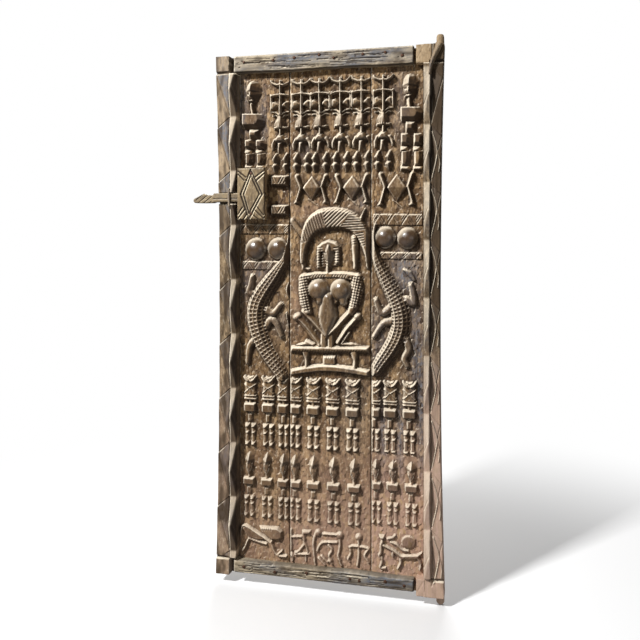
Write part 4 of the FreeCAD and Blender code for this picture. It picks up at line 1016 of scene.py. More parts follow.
def wear_and_painted_light_of(carving, edge_scale=1.0, hand=1):
    """Three grids from 0 to 1, from heights against their blur: rubbed edges with a painted highlight,
    hollows with grime and painted shade, and dark patina, with painted shade on the stiles.

    The sides that face the key light, above and to the left, get a painted highlight. The sides turned from
    it get painted shade, added to the hollows' grid.
    """
    cells = 1 / carving.step
    near = (carving.high - soften(carving.high, 2.8 * cells)) * edge_scale
    wide = soften(carving.high, 20 * cells) - carving.high
    up, across = np.gradient(carving.high, carving.step)
    # How squarely each slope faces the key light, above and to the left
    facing_light = 0.65 * hand * across - 0.8 * up
    turned = soften(facing_light, 4 * cells) * edge_scale
    # Rubbed arrises, painted brighter where they face the light: wear and painted highlight
    arris_wear_and_highlight = unit((near - 0.8) / 2.6) * np.clip(0.32 + 1.1 * turned, 0.08, 1)
    # Painted highlight on the slopes that face the light, painted shade on the slopes turned from it
    painted_highlight = np.clip((facing_light - 0.35) * 0.9, 0, 0.85)
    painted_shade = unit((-facing_light - 0.15) * 1.6)
    hollow = np.maximum(np.clip((wide - 1.0) / 8.0, 0, 0.9), unit((-near - 0.5) / 2.2))
    # Hollows under a painted highlight get less grime and painted shade
    hollow = np.where(painted_highlight > 0.3, hollow * 0.3, hollow)
    # Pits are darkened beyond 1, and get no painted highlight
    pit = unit((carving.stain_and_shade - 1.0) * 5)
    # Rubbed edges plus the painted highlight
    worn_and_highlight = unit(arris_wear_and_highlight + 0.95 * painted_highlight) * (1 - 0.8 * pit)
    return worn_and_highlight, unit(hollow + 0.95 * painted_shade), soften(carving.stain_and_shade, 1.5 * cells)


def dress(obj, body, material, replaced=()):
    """Puts a finished piece in the scene, on its body and in place of its nodes."""
    bpy.context.scene.collection.objects.link(obj)
    obj.data.materials.append(material)
    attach(obj, body)
    if replaced:
        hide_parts(*replaced)
    return obj


def paint(mesh, name, columns):
    """Stores up to four grids, or single numbers, for the mesh's first points as a colour attribute."""
    count = max(np.size(column) for column in columns)
    values = np.zeros((len(mesh.vertices), 4), np.float32)
    for number, column in enumerate(columns):
        values[:count, number] = np.ravel(column)
    mesh.color_attributes.new(name, "FLOAT_COLOR", "POINT").data.foreach_set("color", values.ravel())


def grid_points(x, y, z):
    """A grid of points from three arrays that broadcast together."""
    return np.stack(np.broadcast_arrays(x, y, z), axis=-1).astype(float)


def carved(name, shape, weather, tint):
    """A carved piece as an object, from its points, faces and shading, with its front's wear, grime and
    patina, their painted highlight and shade, and its tints.
    """
    mesh = make_mesh(name, *shape)
    # The weather attribute carries rubbed edges with a painted highlight, hollows with grime and painted
    # shade, patina and polish
    paint(mesh, "weather", weather)
    paint(mesh, "tint", tint)
    return bpy.data.objects.new(name, mesh)


def adzed(carving, seed):
    """Broad shallow scoops over a board's back, in millimetres, at the carving's coarse lines."""
    x, z = carving.x[::carving.coarse][None], carving.z[::carving.coarse][:, None]
    return np.abs(uneven(x, z, 34, 90, seed) * 1.2 + uneven(x, z, 14, 40, seed + 1) * 0.48)


# The hollows' grime and painted shade, and the edges' rubbing and painted highlight, grow towards a plank's
# top from this height
WEAR_FROM = 250.0


def carve_plank(node, forms, step, seed, tint):
    """A carved plank: its forms over a hand-hewn ground, closed behind by its adzed back."""
    left, right = sides(node)
    carving = Carving((left, right), (BOARD_LOW, BOARD_HIGH), step)
    forms(carving)
    x, z = carving.x[None], carving.z[:, None]
    # Hand-hewn ground: upright chisel strokes, and a gentle swelling of the whole board
    cuts, tone = tool_marks(x, z, 11, 21, seed)
    hewn = cuts * 3.4 + uneven(x, z, 26, 110, seed + 1) * 1.2 + uneven(x, z, 5.5, 9, seed + 2) * 0.6
    carving.high += hewn * np.clip(1.1 - carving.high / 24, 0.18, 1)
    # The seams' worn arrises
    carving.high = np.minimum(carving.high, np.minimum(x - left, right - x) * 2.4 - 3.2)
    edge, hollow, stain_and_shade = wear_and_painted_light_of(carving)
    # Less grime and painted shade in hollows, and less painted highlight on edges, towards the plank's foot
    hollow = hollow * np.clip(0.5 + (z - WEAR_FROM) / 900, 0.5, 1)
    edge = edge * np.clip(0.72 + (z - WEAR_FROM) / 1600, 0.72, 1)
    grey, red, pale = (spots(x, z, places) for places in tint["spots"])
    red = red + unit((tint["red_top"] - z) / tint["red_fall"]) * tint["red_most"]
    # Every adze cut has its own tone
    pale = unit(pale + (tone - 0.72) * 1.6)
    low = np.clip((0.62 - tone) * 1.9, 0, 0.95) * np.clip((z - 150) / 500, 0.35, 1) * (carving.stain_and_shade < 0.05)
    back_y = BACK - BACK_INSET - adzed(carving, seed + 5)
    shape = slab(grid_points(x, GROUND - carving.high, z), back_y, carving.coarse)
    return carved(node + "_carved", shape, [edge, hollow, stain_and_shade, carving.polish], [grey, red, pale, low])


# Where the wood has gone grey-blue, where it is red, and where it is bleached: soft spots by place

def spots(x, z, places):
    """The sum of soft spots, each a middle, two radii and a strength."""
    total = np.zeros(np.broadcast(x, z).shape)
    for cx, cz, rx, rz, strength in places:
        q = ((x - cx) / rx) ** 2 + ((z - cz) / rz) ** 2
        total = total + strength * np.exp(-q)
    return unit(total)


# Each plank's spots of grey-blue, of red and of pale wood, and the red that grows towards its foot
LEFT_TINT = {
    "spots": ([(-776, 1850, 22, 150, 0.9), (-690, 1790, 20, 120, 0.7), (-690, 1190, 60, 60, 0.6),
               (-770, 1150, 20, 120, 0.5), (-620, 1000, 40, 60, 0.4)],
              [],
              [(-640, 1480, 50, 60, 0.6), (-620, 1600, 50, 80, 0.3), (-655, 1770, 22, 170, 0.9),
               (-742, 1300, 60, 40, 0.4)]),
    "red_top": 620, "red_fall": 500, "red_most": 0.35}


MIDDLE_TINT = {
    "spots": ([(-520, 1670, 30, 60, 0.6), (-300, 1480, 40, 60, 0.5), (-330, 700, 60, 160, 0.35)],
              [(-480, 1440, 120, 40, 0.25), (-560, 1080, 40, 120, 0.3)],
              [(-420, 1620, 150, 120, 0.25), (-460, 1500, 60, 50, 0.35)]),
    "red_top": 700, "red_fall": 520, "red_most": 0.6}


RIGHT_TINT = {
    "spots": ([(-130, 1190, 60, 110, 1.0), (-90, 900, 30, 180, 0.9), (-230, 1000, 40, 80, 0.6),
               (-215, 620, 18, 160, 0.8), (-150, 600, 16, 160, 0.9), (-70, 640, 20, 200, 0.9),
               (-150, 1840, 40, 160, 0.4), (-230, 880, 40, 60, 0.6)],
              [],
              [(-200, 1500, 80, 60, 0.3), (-180, 200, 140, 240, 0.6)]),
    "red_top": 720, "red_fall": 400, "red_most": 0.95}


# Stiles

FIN_WIDTH = 28.0
FIN_HEIGHT = 28.0
NOTCH_PITCH = 214.0
NOTCH_DEPTH = 24.0
FIRST_NOTCH = {"left_stile": 98.1, "right_stile": 39.0}
STILE_STEP = 2.0
# How far the outer edge bows in at mid height
EDGE_BOW = 16.0
# The plain blocks at both ends: their height, their width beside a rail, and how far in their groove is
END_BLOCK = 70.0
END_BLOCK_WIDTH = 57.0
END_GROOVE = 66.0


def scalloped(z, first, pitch, depth):
    """How deep the notches are at each height: an even zigzag, deepest at first and every pitch from it."""
    phase = (z - first) / pitch
    return depth * (1 - 2 * np.abs(phase - np.round(phase)))


def fin_of(across, z, fin_foot, first, seed):
    """The fin: the least of its steep outer side, its sloping flank and its notched crest.

    Gives its heights, the distance in from its foot, and where its flank and its notches' cuts lie.
    """
    notch = scalloped(z, first, NOTCH_PITCH, NOTCH_DEPTH)
    from_foot = across - fin_foot - uneven(across * 0, z, 40, 160, seed) * 1.6
    steep = unit(from_foot / 2.2) * FIN_HEIGHT
    slope = FIN_HEIGHT - np.clip(from_foot - 8, 0, None) * 1.1
    crest = FIN_HEIGHT - notch + uneven(across * 0 + 1, z, 50, 37, seed + 1) * 0.8
    body = (z > END_BLOCK) & (z < LEAF_TOP - END_BLOCK)
    heights = np.where(body, np.clip(np.minimum(np.minimum(steep, slope), crest), 0, None), 0.0)
    on_flank = body & (slope < crest) & (from_foot > 9)
    on_cut = body & (crest <= slope) & (crest <= steep) & (from_foot > 2)
    return heights, from_foot, on_flank, on_cut


def end_blocks(carving, left_hand, fin_foot):
    """The blocks at the stile's ends: a groove marks each off, and the left ones are lapped by the rails."""
    across, z = carving.x[None], carving.z[:, None]
    if left_hand:
        lap = ((z > LEAF_TOP - END_BLOCK) | (z < END_BLOCK)) & (across > END_BLOCK_WIDTH)
        carving.high = np.where(lap, BAND_FRONT - GROUND, carving.high)
    reach = END_BLOCK_WIDTH if left_hand else fin_foot
    fade = END_BLOCK_WIDTH - 13 if left_hand else fin_foot
    for height in (END_GROOVE, LEAF_TOP - END_GROOVE):
        cells, gx, gz = carving.window([(0, height), (reach, height)], 7)
        depth = 10.0 * unit(1.7 - np.abs(gz - height) / 4) * unit(1.3 - gx / fade) ** 0.3
        carving.cut(cells, depth, floor=-10)


def carve_stile(node, seed):
    """A stile's carved front over its plain back. Across is measured inwards from its outer edge."""
    left_hand = node == "left_stile"
    left, right = sides(node)
    outer = left if left_hand else right
    width = right - left if left_hand else right - sides("right_plank")[1] - SEAM
    carving = Carving((0.0, width), (LEAF_FOOT, LEAF_TOP), STILE_STEP)
    across, z = carving.x[None], carving.z[:, None]
    fin_foot = width - FIN_WIDTH
    first = FIRST_NOTCH[node]
    carving.high, from_foot, on_flank, on_cut = fin_of(across, z, fin_foot, first, seed)
    phase = (z - first) / NOTCH_PITCH + 0 * across
    faces_up = phase - np.floor(phase) > 0.5
    # The band outside the fin: one long crease to each notch slants across it, between two facets
    on_band = from_foot < 0
    creased = on_band & (z > END_BLOCK) & (z < LEAF_TOP - END_BLOCK)
    share = across / fin_foot
    lean = phase + 0.22 * (1 - unit(share))
    fall = 1 - (lean - np.floor(lean))
    facet = 4.5 * (1 - np.abs(share - fall) / np.maximum(fall, 1 - fall))
    carving.high += np.where(creased, facet - 2.0, 0)
    dark_leaf = unit((share - fall) * 9) * creased
    upper = unit((z - 850) / 250)
    smoky = uneven(across, z, 16, 60, seed + 7) * 1.2 + uneven(across, z, 7, 26, seed + 8) * 0.7
    smoky = np.clip(smoky + 0.25, 0, 0.95)
    # Notch cuts that face down are darkened as painted shade, and those that face up are lightened as a
    # painted highlight
    shaded_cut, lit_cut = on_cut & ~faces_up, on_cut & faces_up
    # The left fin's flank, turned from the light, is painted dark as painted shade. The right stile's band
    # darkens towards its top
    if left_hand:
        carving.stain_and_shade = on_flank * 1.0 + shaded_cut * 0.9 + lit_cut * 0.25 + on_band * (smoky + dark_leaf * 0.3)
    else:
        band = upper * 1.1 + (1 - upper) * smoky * 0.3
        carving.stain_and_shade = on_flank * (0.1 + 0.4 * upper) + shaded_cut * 0.35 * upper + on_band * band
    carving.high += uneven(across, z, 12, 70, seed + 2) * 0.9 + uneven(across, z, 5, 14, seed + 3) * 0.35
    stile_lines(carving, fin_foot, width, node)
    end_blocks(carving, left_hand, fin_foot)
    if left_hand:
        # The slot that the bolt runs through, cut down behind the bolt's back
        bolt_low, bolt_high = edges("lock_bolt")
        slot = (z > bolt_low[2] - 3.0) & (z < bolt_high[2] + 1.4)
        slot_floor = BAND_FRONT - bolt_high[1] - 0.7
        carving.high = np.where(slot, slot_floor, carving.high)
    edge, hollow, stain_and_shade = wear_and_painted_light_of(carving, 1.0, 1 if left_hand else -1)
    # A painted highlight on the notch cuts that face up
    edge = unit(edge + soften((0.35 if left_hand else 0.4) * lit_cut, 2))
    # The right stile's hollows, with their grime and painted shade, lighten towards its foot
    if not left_hand:
        hollow = hollow * np.clip(0.3 + (z - 400) / 1100, 0.3, 1)
    middle = (LEAF_FOOT + LEAF_TOP) / 2
    bow = EDGE_BOW * (1 - ((z - middle) / (LEAF_TOP - middle)) ** 2)
    x = outer + (1 if left_hand else -1) * (across + bow * (1 - across / width))
    # Heights in millimetres over a rectangle of wood, with how dark each spot is made, by patina and by
    # painted shade, and its polish.
    carving.high -= np.clip(2.5 - across, 0, 2.5)
    front = grid_points(x, BAND_FRONT - carving.high, z + 0 * x)
    coarse = carving.coarse
    rough = uneven(carving.x[::coarse][None], carving.z[::coarse][:, None], 30, 90, seed + 5)
    back_y = BACK - BACK_INSET - np.abs(rough)
    grids = [edge, hollow, unit(stain_and_shade), dark_leaf]
    if not left_hand:
        front, back_y, *grids = (grid[:, ::-1] for grid in (front, back_y, *grids))
    return slab(front, back_y, coarse), grids


def stile_lines(c, fin_foot, width, node):
    """Knife lines: slanting creases on the band and a short nick on the fin's flank at each peak."""
    left_hand = node == "left_stile"
    luck = np.random.default_rng(7 if left_hand else 8)
    wrap_below, leaf_below = 1800, 1850
    for number in range(10):
        peak = FIRST_NOTCH[node] + NOTCH_PITCH * (0.5 + number)
        groove(c, [(2, peak + 58), (fin_foot - 2, peak - 104)], 6, 4.0)
        if peak < wrap_below:
            groove(c, [(2, peak + 62), (fin_foot - 4, peak + 105 + luck.uniform(-4, 4))], 5, 3.0)
        if not left_hand and peak < leaf_below:
            # A long thin leaf's outline winds down the band
            near, far = fin_foot - luck.uniform(6, 10), fin_foot * luck.uniform(0.3, 0.5)
            leaf = [(near, peak + 80), (far, peak + 22), (fin_foot * 0.42, peak - 18), (near, peak - 92)]
            vein = [(far, peak + 20), (fin_foot * 0.12, peak - 30), (fin_foot * 0.2, peak - 70)]
            bar(c, leaf, [3, 6, 6, 3], 8, "ridge", curved=True)
            bar(c, vein, [5, 5, 3], 7, "ridge", curved=True)
        groove(c, [(fin_foot - 3, peak + 96), (fin_foot - 5, peak), (fin_foot - 2, peak - 100)], 6, 5.0)
        groove(c, [(fin_foot + 9, peak + 10 + luck.uniform(-6, 6)), (width - 2, peak - 34)], 4, 3.0, least=4)
    # Wood is cut away, and the deeper part of the cut is darkened with grime and painted shade.
    for _ in range(3):
        at = luck.uniform(6, fin_foot - 6)
        start = luck.uniform(100, 1500)
        groove(c, [(at, start), (at + luck.uniform(-3, 3), start + 300)], 3.0, 2.0)


def lathe(profile, turns=48, first=0, wobble=0.0):
    """A turned peg about the pivots' axis: radius and height pairs swept round, fluted by small waves."""
    profile = np.asarray(profile, float)
    angle = np.linspace(0, 2 * np.pi, turns, endpoint=False)[None]
    radius = profile[:, :1] * (1 + wobble * np.sin(angle * 5 + profile[:, 1:] * 0.05))
    points = grid_points(radius * np.cos(angle), radius * np.sin(angle), profile[:, 1:]).reshape(-1, 3)
    wall, caps = ring_faces(first, len(profile), turns)
    return points, [wall, np.vstack([caps[:1, ::-1], caps[1:]])], [True, False]


def ring_faces(first, rows, turns):
    """Quads between closed rings of points, and the first and the last ring as two faces."""
    g = first + np.arange(rows * turns).reshape(rows, turns)
    g = np.hstack([g, g[:, :1]])
    quads = np.stack([g[:-1, :-1], g[:-1, 1:], g[1:, 1:], g[1:, :-1]], axis=-1).reshape(-1, 4)
    return quads, np.vstack([g[0, :-1], g[-1, :-1]])


def tube(path, widths, heights, base, first=0, around=14):
    """A half-round ridge on a face: an ellipse of the given widths and heights carried along a path."""
    path = np.asarray(path, float)
    widths, heights = np.asarray(widths, float), np.asarray(heights, float)
    step = np.gradient(path, axis=0)
    step /= np.hypot(*step.T)[:, None]
    angle = np.linspace(0, 2 * np.pi, around, endpoint=False)[None]
    across = widths[:, None] / 2 * np.cos(angle)
    out = heights[:, None] * np.sin(angle)
    x = path[:, :1] - step[:, 1:] * across
    z = path[:, 1:] + step[:, :1] * across
    points = grid_points(x, base - out, z).reshape(-1, 3)
    wall, caps = ring_faces(first, len(path), around)
    return points, [wall[:, [0, 3, 2, 1]], np.vstack([caps[:1], caps[1:, ::-1]])], [True, False]


def stile_object(node, parts, grids):
    """Joins a stile's parts, each its points, faces and shading, and paints its wear with its painted
    highlight and shade.
    """
    points = np.vstack([part[0] for part in parts])
    faces, smooth = (sum((part[number] for part in parts), []) for number in (1, 2))
    tint = tint_stile(points, node == "left_stile", grids[3])
    return carved(node + "_carved", (points, faces, smooth), grids[:3], tint)


def left_stile_object():
    """The left stile, with the strip of its crest that bridges the bolt's slot."""
    leaf, grids = carve_stile("left_stile", 21)
    bolt_low, bolt_high = edges("lock_bolt")
    z = np.linspace(bolt_low[2] - 17.32, bolt_high[2] + 15.68, 19)
    x = sides("left_stile")[0] + 64 + np.sin(z * 0.07) * 0.6
    widths, heights = np.full(19, 8.5), np.full(19, 5.4)
    strip = tube(np.stack([x, z], axis=1), widths, heights, BAND_FRONT - 22.4, len(leaf[0]))
    return stile_object("left_stile", [leaf, strip], grids)


# The two pivots from below upwards: radii, and how far in from the pivot's end they are
UPPER_PIVOT = ((14.4, 49), (14.5, 33), (14.2, 17), (13.9, 11), (12.6, 5), (9.5, 1.5), (4.0, 0))
LOWER_PIVOT = ((4.0, 0), (9.0, 1.4), (13.0, 5), (14.8, 9), (15.0, 23), (15.0, 43))
# The ridge that flows from the upper pivot into the fin: across from the pivots' axis, and down from the top
FLOW = ((-2, 1), (-8, 20), (-19, 45), (-31, 78), (-37, 115))
EAR_WIDTH = 31.0
EAR_STEP = 2.6


def right_stile_object():
    """The right stile, with both pivots, the ridge below the upper one, and two ears over the planks."""
    leaf, grids = carve_stile("right_stile", 31)
    parts = [leaf]

    def so_far():
        return sum(len(part[0]) for part in parts)

    low, high = edges("right_stile")
    for profile in ([(radius, high[2] - inward) for radius, inward in UPPER_PIVOT],
                    [(radius, low[2] + inward) for radius, inward in LOWER_PIVOT]):
        parts.append(lathe(profile, 40, so_far(), 0.012))
    flow = rounded([(x, LEAF_TOP - down) for x, down in FLOW], 8)
    half = len(flow) // 2
    heights = np.concatenate([np.linspace(16, 25, half), np.linspace(25, 26, len(flow) - half)])
    parts.append(tube(flow, np.linspace(27, 9, len(flow)), heights, BAND_FRONT + 1, so_far()))
    parts.append(ear(low[0], LEAF_TOP - END_BLOCK + 0.4, LEAF_TOP - 1.0, so_far()))
    parts.append(ear(low[0], LEAF_FOOT + 1.0, END_BLOCK - 6.0, so_far()))
    return stile_object("right_stile", parts, grids)


def ear(left, foot_z, top_z, first):
    """An ear that laps the planks' ends beside a rail, with one knife line across it."""
    carving = Carving((left, left + EAR_WIDTH), (foot_z, top_z), EAR_STEP)
    x, z = carving.x[None], carving.z[:, None]
    carving.high = uneven(x, z, 14, 30, 77) * 0.9 - np.clip(3 - (x - left), 0, 3) * 0.8
    groove(carving, [(left + 3, foot_z + 12), (left + 25, top_z - 10)], 4, 2.5)
    return slab(grid_points(x, BAND_FRONT - carving.high, z), GROUND + 1.0, carving.coarse, first)


def tint_stile(points, left_hand, leaf):
    """Grey-blue on the crest, the leaves and the upper band, red towards the foot of the right stile."""
    x, y, z = points.T
    in_leaf = np.zeros(len(x))
    in_leaf[:leaf.size] = leaf.ravel()
    crest = unit((BAND_FRONT - 6 - y) / 12)
    top_block = z > LEAF_TOP - END_GROOVE + 1
    if left_hand:
        upper = unit((z - 1300) / 300)
        grey = crest * 0.4 + in_leaf * (0.35 + 0.5 * upper) + 0.25 * upper
        grey = np.maximum(grey, top_block * 0.6)
        red = unit((950 - z) / 500) * 0.2
        pale = np.where(top_block, 0.7, (1 - in_leaf) * 0.6 * upper)
    else:
        grey = crest * 0.3 + in_leaf * 0.2
        red = unit((950 - z) / 450)
        pale = unit((900 - z) / 400) * 0.5 + top_block * 0.5
    return [unit(grey), red, unit(pale)]


# Rails

RAIL_STEP = 2.4
RAIL_ROWS = 31


def hew_rail(node, seed):
    """A rail: a hewn face between a straight edge and a wavy one, cracked along the grain, and pitted."""
    low, high = edges(node)
    carving = Carving((low[0] + 0.2, high[0] - 0.2), (0.0, 1.0), RAIL_STEP, 6)
    share = np.linspace(0, 1, RAIL_ROWS)[:, None]
    carving.z = np.linspace(low[2], high[2], RAIL_ROWS)
    x = carving.x[None]
    hewn = 3.6 + uneven(x, x * 0, 120, 10, seed) * 2.6 + uneven(x, x * 0, 40, 10, seed + 1) * 0.9
    straight_top = node == "top_rail"
    bottom = low[2] + (hewn if straight_top else 0.6)
    top = high[2] - (0.6 if straight_top else hewn)
    z = bottom + (top - bottom) * share
    rim = np.minimum(share, 1 - share) * (top - bottom)
    rim_x = np.minimum(x - x.min(), x.max() - x)
    carving.high = uneven(x, z, 48, 30, seed + 2) * 1.4 + uneven(x, z, 17, 12, seed + 3) * 0.7 \
        + uneven(x, z, 7, 4, seed + 4) * 0.35 - np.clip(5 - rim, 0, 5) ** 2 * 0.16 \
        - np.clip(5 - rim_x, 0, 5) ** 2 * 0.16
    carving.stain_and_shade = np.zeros_like(carving.high)
    carving.polish = np.zeros_like(carving.high)
    luck = np.random.default_rng(seed + 9)
    for _ in range(46):
        start = luck.uniform(low[0] + 10, high[0] - 130)
        height = luck.uniform(low[2] + 6, high[2] - 6)
        crack = [(start, height), (start + luck.uniform(20, 125), height + luck.uniform(-4, 4))]
        groove(carving, crack, luck.uniform(4, 6.5), luck.uniform(1.5, 4.5))
    for _ in range(12):
        centre = (luck.uniform(low[0] + 15, high[0] - 15), luck.uniform(low[2] + 10, high[2] - 10))
        cells, gx, gz = carving.window([centre], 7)
        q = ((gx - centre[0]) / luck.uniform(3, 7)) ** 2 + ((gz - centre[1]) / luck.uniform(2, 4)) ** 2
        carving.cut(cells, 3.0 * unit(1 - q), floor=-6)
    smoke = uneven(x, z, 34, 8, seed + 11) * 1.1 + uneven(x, z, 50, 3, seed + 12) * 0.9 + 0.1
    carving.stain_and_shade = np.maximum(carving.stain_and_shade, np.clip(smoke, 0, 0.9))
    edge, hollow, stain_and_shade = wear_and_painted_light_of(carving, 2.0)
    grey = unit(0.5 + uneven(x, z, 110, 40, seed + 6) * 0.9)
    left_end = np.clip((low[0] + 243 - x) / 200, 0, 0.5)
    pale = unit(0.1 + uneven(x, z, 70, 30, seed + 7) + left_end)
    front = grid_points(x, low[1] + 0.8 - np.minimum(carving.high, 2.6), z)
    return carved(node + "_hewn", slab(front, GROUND - 0.1, carving.coarse),
                  [edge, unit(hollow * 2.0), stain_and_shade, carving.polish], [grey, 0.1, pale])


# Lock

LOCK_STEP = 1.15
# How far the carved face stands in front of the case, and how far it is sunk in it behind
FACE_PROUD = 1.2
FACE_SUNK = 6.8
# The lozenge's corners, outside and inside, in the photograph
LOZENGE = ((250.8, 170.0), (241.0, 194.4), (249.0, 219.4), (262.4, 194.4))
INNER_LOZENGE = ((250.9, 175.6), (243.9, 194.4), (249.3, 213.4), (259.6, 194.4))
# The double lines in the case's four corners, in the photograph
CORNER_LINES = (((238.4, 171.6), (246.0, 177.5)), ((238.4, 174.6), (244.4, 180.6)),
                ((263.4, 171.2), (255.2, 177.6)), ((263.4, 174.6), (256.6, 181)),
                ((238.4, 218.4), (244.6, 210.4)), ((238.2, 214.6), (242.6, 207.6)),
                ((243.4, 219.6), (246.6, 215.2)), ((263.6, 218.4), (255.4, 210.6)),
                ((263.6, 215), (257.4, 207.2)), ((258.6, 219.6), (253.6, 215.2)))


def lock_face_object():
    """The carved face of the lock case: a lozenge in double lines, and chevrons in its four corners."""
    low, high = edges("lock_case")
    c = Carving((low[0] - 0.3, high[0] + 0.3), (low[2] - 0.3, high[2] + 0.3), LOCK_STEP, 6)
    x, z = c.x[None], c.z[:, None]
    c.high = 3.2 + uneven(x, z, 40, 60, 3) * 0.4 + uneven(x, z, 5, 22, 4) * 0.35
    outer, inner = LOZENGE + LOZENGE[:1], INNER_LOZENGE + INNER_LOZENGE[:1]
    lines = [(pair, 9.0, 7.5) for pair in zip(outer, outer[1:])] \
        + [(pair, 8.4, 6.6) for pair in zip(inner, inner[1:])] + [(pair, 8.0, 6.0) for pair in CORNER_LINES]
    for pair, width, depth in lines:
        groove(c, seen(pair, low[1] - 2.0), width, depth)
    rim = np.minimum(np.minimum(x - x.min(), x.max() - x), np.minimum(z - z.min(), z.max() - z))
    c.high -= np.clip(6 - rim, 0, 6) ** 2 * 0.07
    # The wood is worn into a cone around each nail
    for nail_x, _, nail_z in nail_places("lock_nails"):
        cells, gx, gz = c.window([(nail_x, nail_z)], 12)
        c.cut(cells, 5 * unit(1.5 - np.hypot(gx - nail_x, gz - nail_z) / 7))
    smoke = uneven(x, z, 13, 30, 15) * 0.5 + uneven(x, z, 4, 22, 16) * 0.8 + (x - x.mean()) / 130 + 0.15
    c.stain_and_shade = np.maximum(c.stain_and_shade * 1.35, np.clip(smoke, 0, 0.9))
    edge, hollow, stain_and_shade = wear_and_painted_light_of(c, 2.6)
    front = grid_points(x, low[1] - FACE_PROUD - np.clip(c.high, -0.9, 3.4), z)
    return carved("lock_case_face", slab(front, low[1] + FACE_SUNK, c.coarse),
                  [edge, unit(hollow * 3), unit(stain_and_shade), 0.12], [0.2 + 0 * edge, 0.0, 0.3])


# The bolt's insides: how far it stands short of its thrown place, and its hollow for the key
UNTHROWN = 8.0
PIN_ROOM = 0.5
KEY_MARGIN = 5.5
KEY_WALL = 6.0
KEY_ROOF = 12.0
KEY_HEIGHT = 13.0


def boxes_mesh(boxes, first):
    """Closed boxes, eight points and six faces each, from rows of low and high corners."""
    boxes = np.asarray(boxes, float).reshape(-1, 2, 3)
    pick = np.array([[0, 0, 0], [1, 0, 0], [1, 1, 0], [0, 1, 0], [0, 0, 1], [1, 0, 1], [1, 1, 1], [0, 1, 1]])
    points = boxes[:, pick, np.arange(3)[None]].reshape(-1, 3)
    walls = np.array([[0, 3, 2, 1], [4, 5, 6, 7], [0, 1, 5, 4], [1, 2, 6, 5], [2, 3, 7, 6], [3, 0, 4, 7]])
    faces = (np.arange(len(boxes))[:, None, None] * 8 + walls[None] + first).reshape(-1, 4)
    return points, faces


# The bolt from its tip: how far along, how far below its top, and how far above its foot, to its shank
BOLT_OUTLINE = ((0, 24, 6), (7, 20, 1), (45, 1.4, 0), (55, 7.5, 0), (83, 8.4, 0.2), (87, 1.0, 3.2))
BOLT_STEP = 1.5
BOLT_ROWS = 25
TIP_LENGTH = 83.0
STRIPE_PITCH = 24.0


def bolt_object():
    """The bolt: a grooved bar with a slanted tip, and behind the lock's face the hollows for key and pins."""
    low, high = edges("lock_bolt")
    along_bolt, below_top, above_foot = np.array(BOLT_OUTLINE).T
    pins = [sides(node) for node in TUMBLERS]
    holes = [((a + b) / 2 + UNTHROWN, (b - a) / 2 + PIN_ROOM) for a, b in pins]
    hollow_left = holes[0][0] - holes[0][1] - KEY_MARGIN
    outline_x = np.append(low[0] + along_bolt, hollow_left)
    top = high[2] - np.append(below_top, below_top[-1])
    foot = low[2] + np.append(above_foot, above_foot[-1])
    c = Carving((outline_x[0], outline_x[-1]), (0, 1), BOLT_STEP, 6)
    x, share = c.x[None], np.linspace(0, 1, BOLT_ROWS)[:, None]
    z_low, z_high = np.interp(x, outline_x, foot), np.interp(x, outline_x, top)
    z = z_low + (z_high - z_low) * share
    # Slanting stripes on the tip, and one long groove along the shank
    slant = (x - 1.3 * z) / STRIPE_PITCH
    stripes = unit(np.abs((slant - np.floor(slant)) * 2 - 1) * 3 - 2) * 2.6
    tip_end = low[0] + TIP_LENGTH
    c.high = -np.where((x < tip_end - 6) & (x > low[0] + 12), stripes, 0)
    line = low[2] + 0.42 * (high[2] - low[2])
    c.high -= np.where(x > tip_end, 2.2 * unit(1 - np.abs(z - line) / 2.4), 0)
    c.stain_and_shade = unit(-c.high / 2.0)
    rim = np.minimum(share, 1 - share) * (z_high - z_low)
    c.high -= np.clip(3 - rim, 0, 3) ** 2 * 0.2 + np.clip(4 - (x - x.min()), 0, 4) * 0.8
    points, faces, smooth = slab(grid_points(x, low[1] - c.high, z), high[1], c.coarse)
    more, box_faces = boxes_mesh(bolt_walls(low, high, hollow_left, holes), len(points))
    edge, hollow, stain_and_shade = wear_and_painted_light_of(c, 1.6)
    stain_and_shade = np.clip(stain_and_shade + uneven(x, z, 34, 9, 17) * 0.5 + 0.15, 0, 0.9)
    return carved("lock_bolt_carved", (np.vstack([points, more]), faces + [box_faces], smooth + [False]),
                  [edge * 0.8, unit(hollow * 2), stain_and_shade, 0.1], [0.45 + 0 * edge, 0.0, 0.2])


def bolt_walls(low, high, left, holes):
    """Boxes around the key's hollow: a floor, front and back walls, and a roof broken by the pins' holes."""
    shank_low, shank_high = low[2] + BOLT_OUTLINE[-1][2], high[2] - BOLT_OUTLINE[-1][1]
    front, back, end = low[1], high[1], high[0]
    key_high = high[2] - KEY_ROOF
    key_low = key_high - KEY_HEIGHT
    walls = [((left, front, shank_low), (end, back, key_low)),
             ((left, front, key_low), (end, front + KEY_WALL, shank_high)),
             ((left, back - KEY_WALL, key_low), (end, back, key_high))]
    marks = [left] + [v for middle, half in holes for v in (middle - half, middle + half)] + [end]
    return walls + [((a, front + KEY_WALL, key_high), (b, back, shank_high))
                    for a, b in zip(marks[::2], marks[1::2])]


# Iron

# A nail from its shank forwards: its radius as a share of its head's, and how far it stands forward
NAIL_PROFILE = ((0.34, -8.0), (0.36, 0.0), (1.0, 0.2), (0.98, 1.0), (0.86, 2.0), (0.66, 2.7), (0.38, 3.2),
                (0.05, 3.3))
NAIL_HEAD_HEIGHT = 3.0
NAIL_APART = 18.0


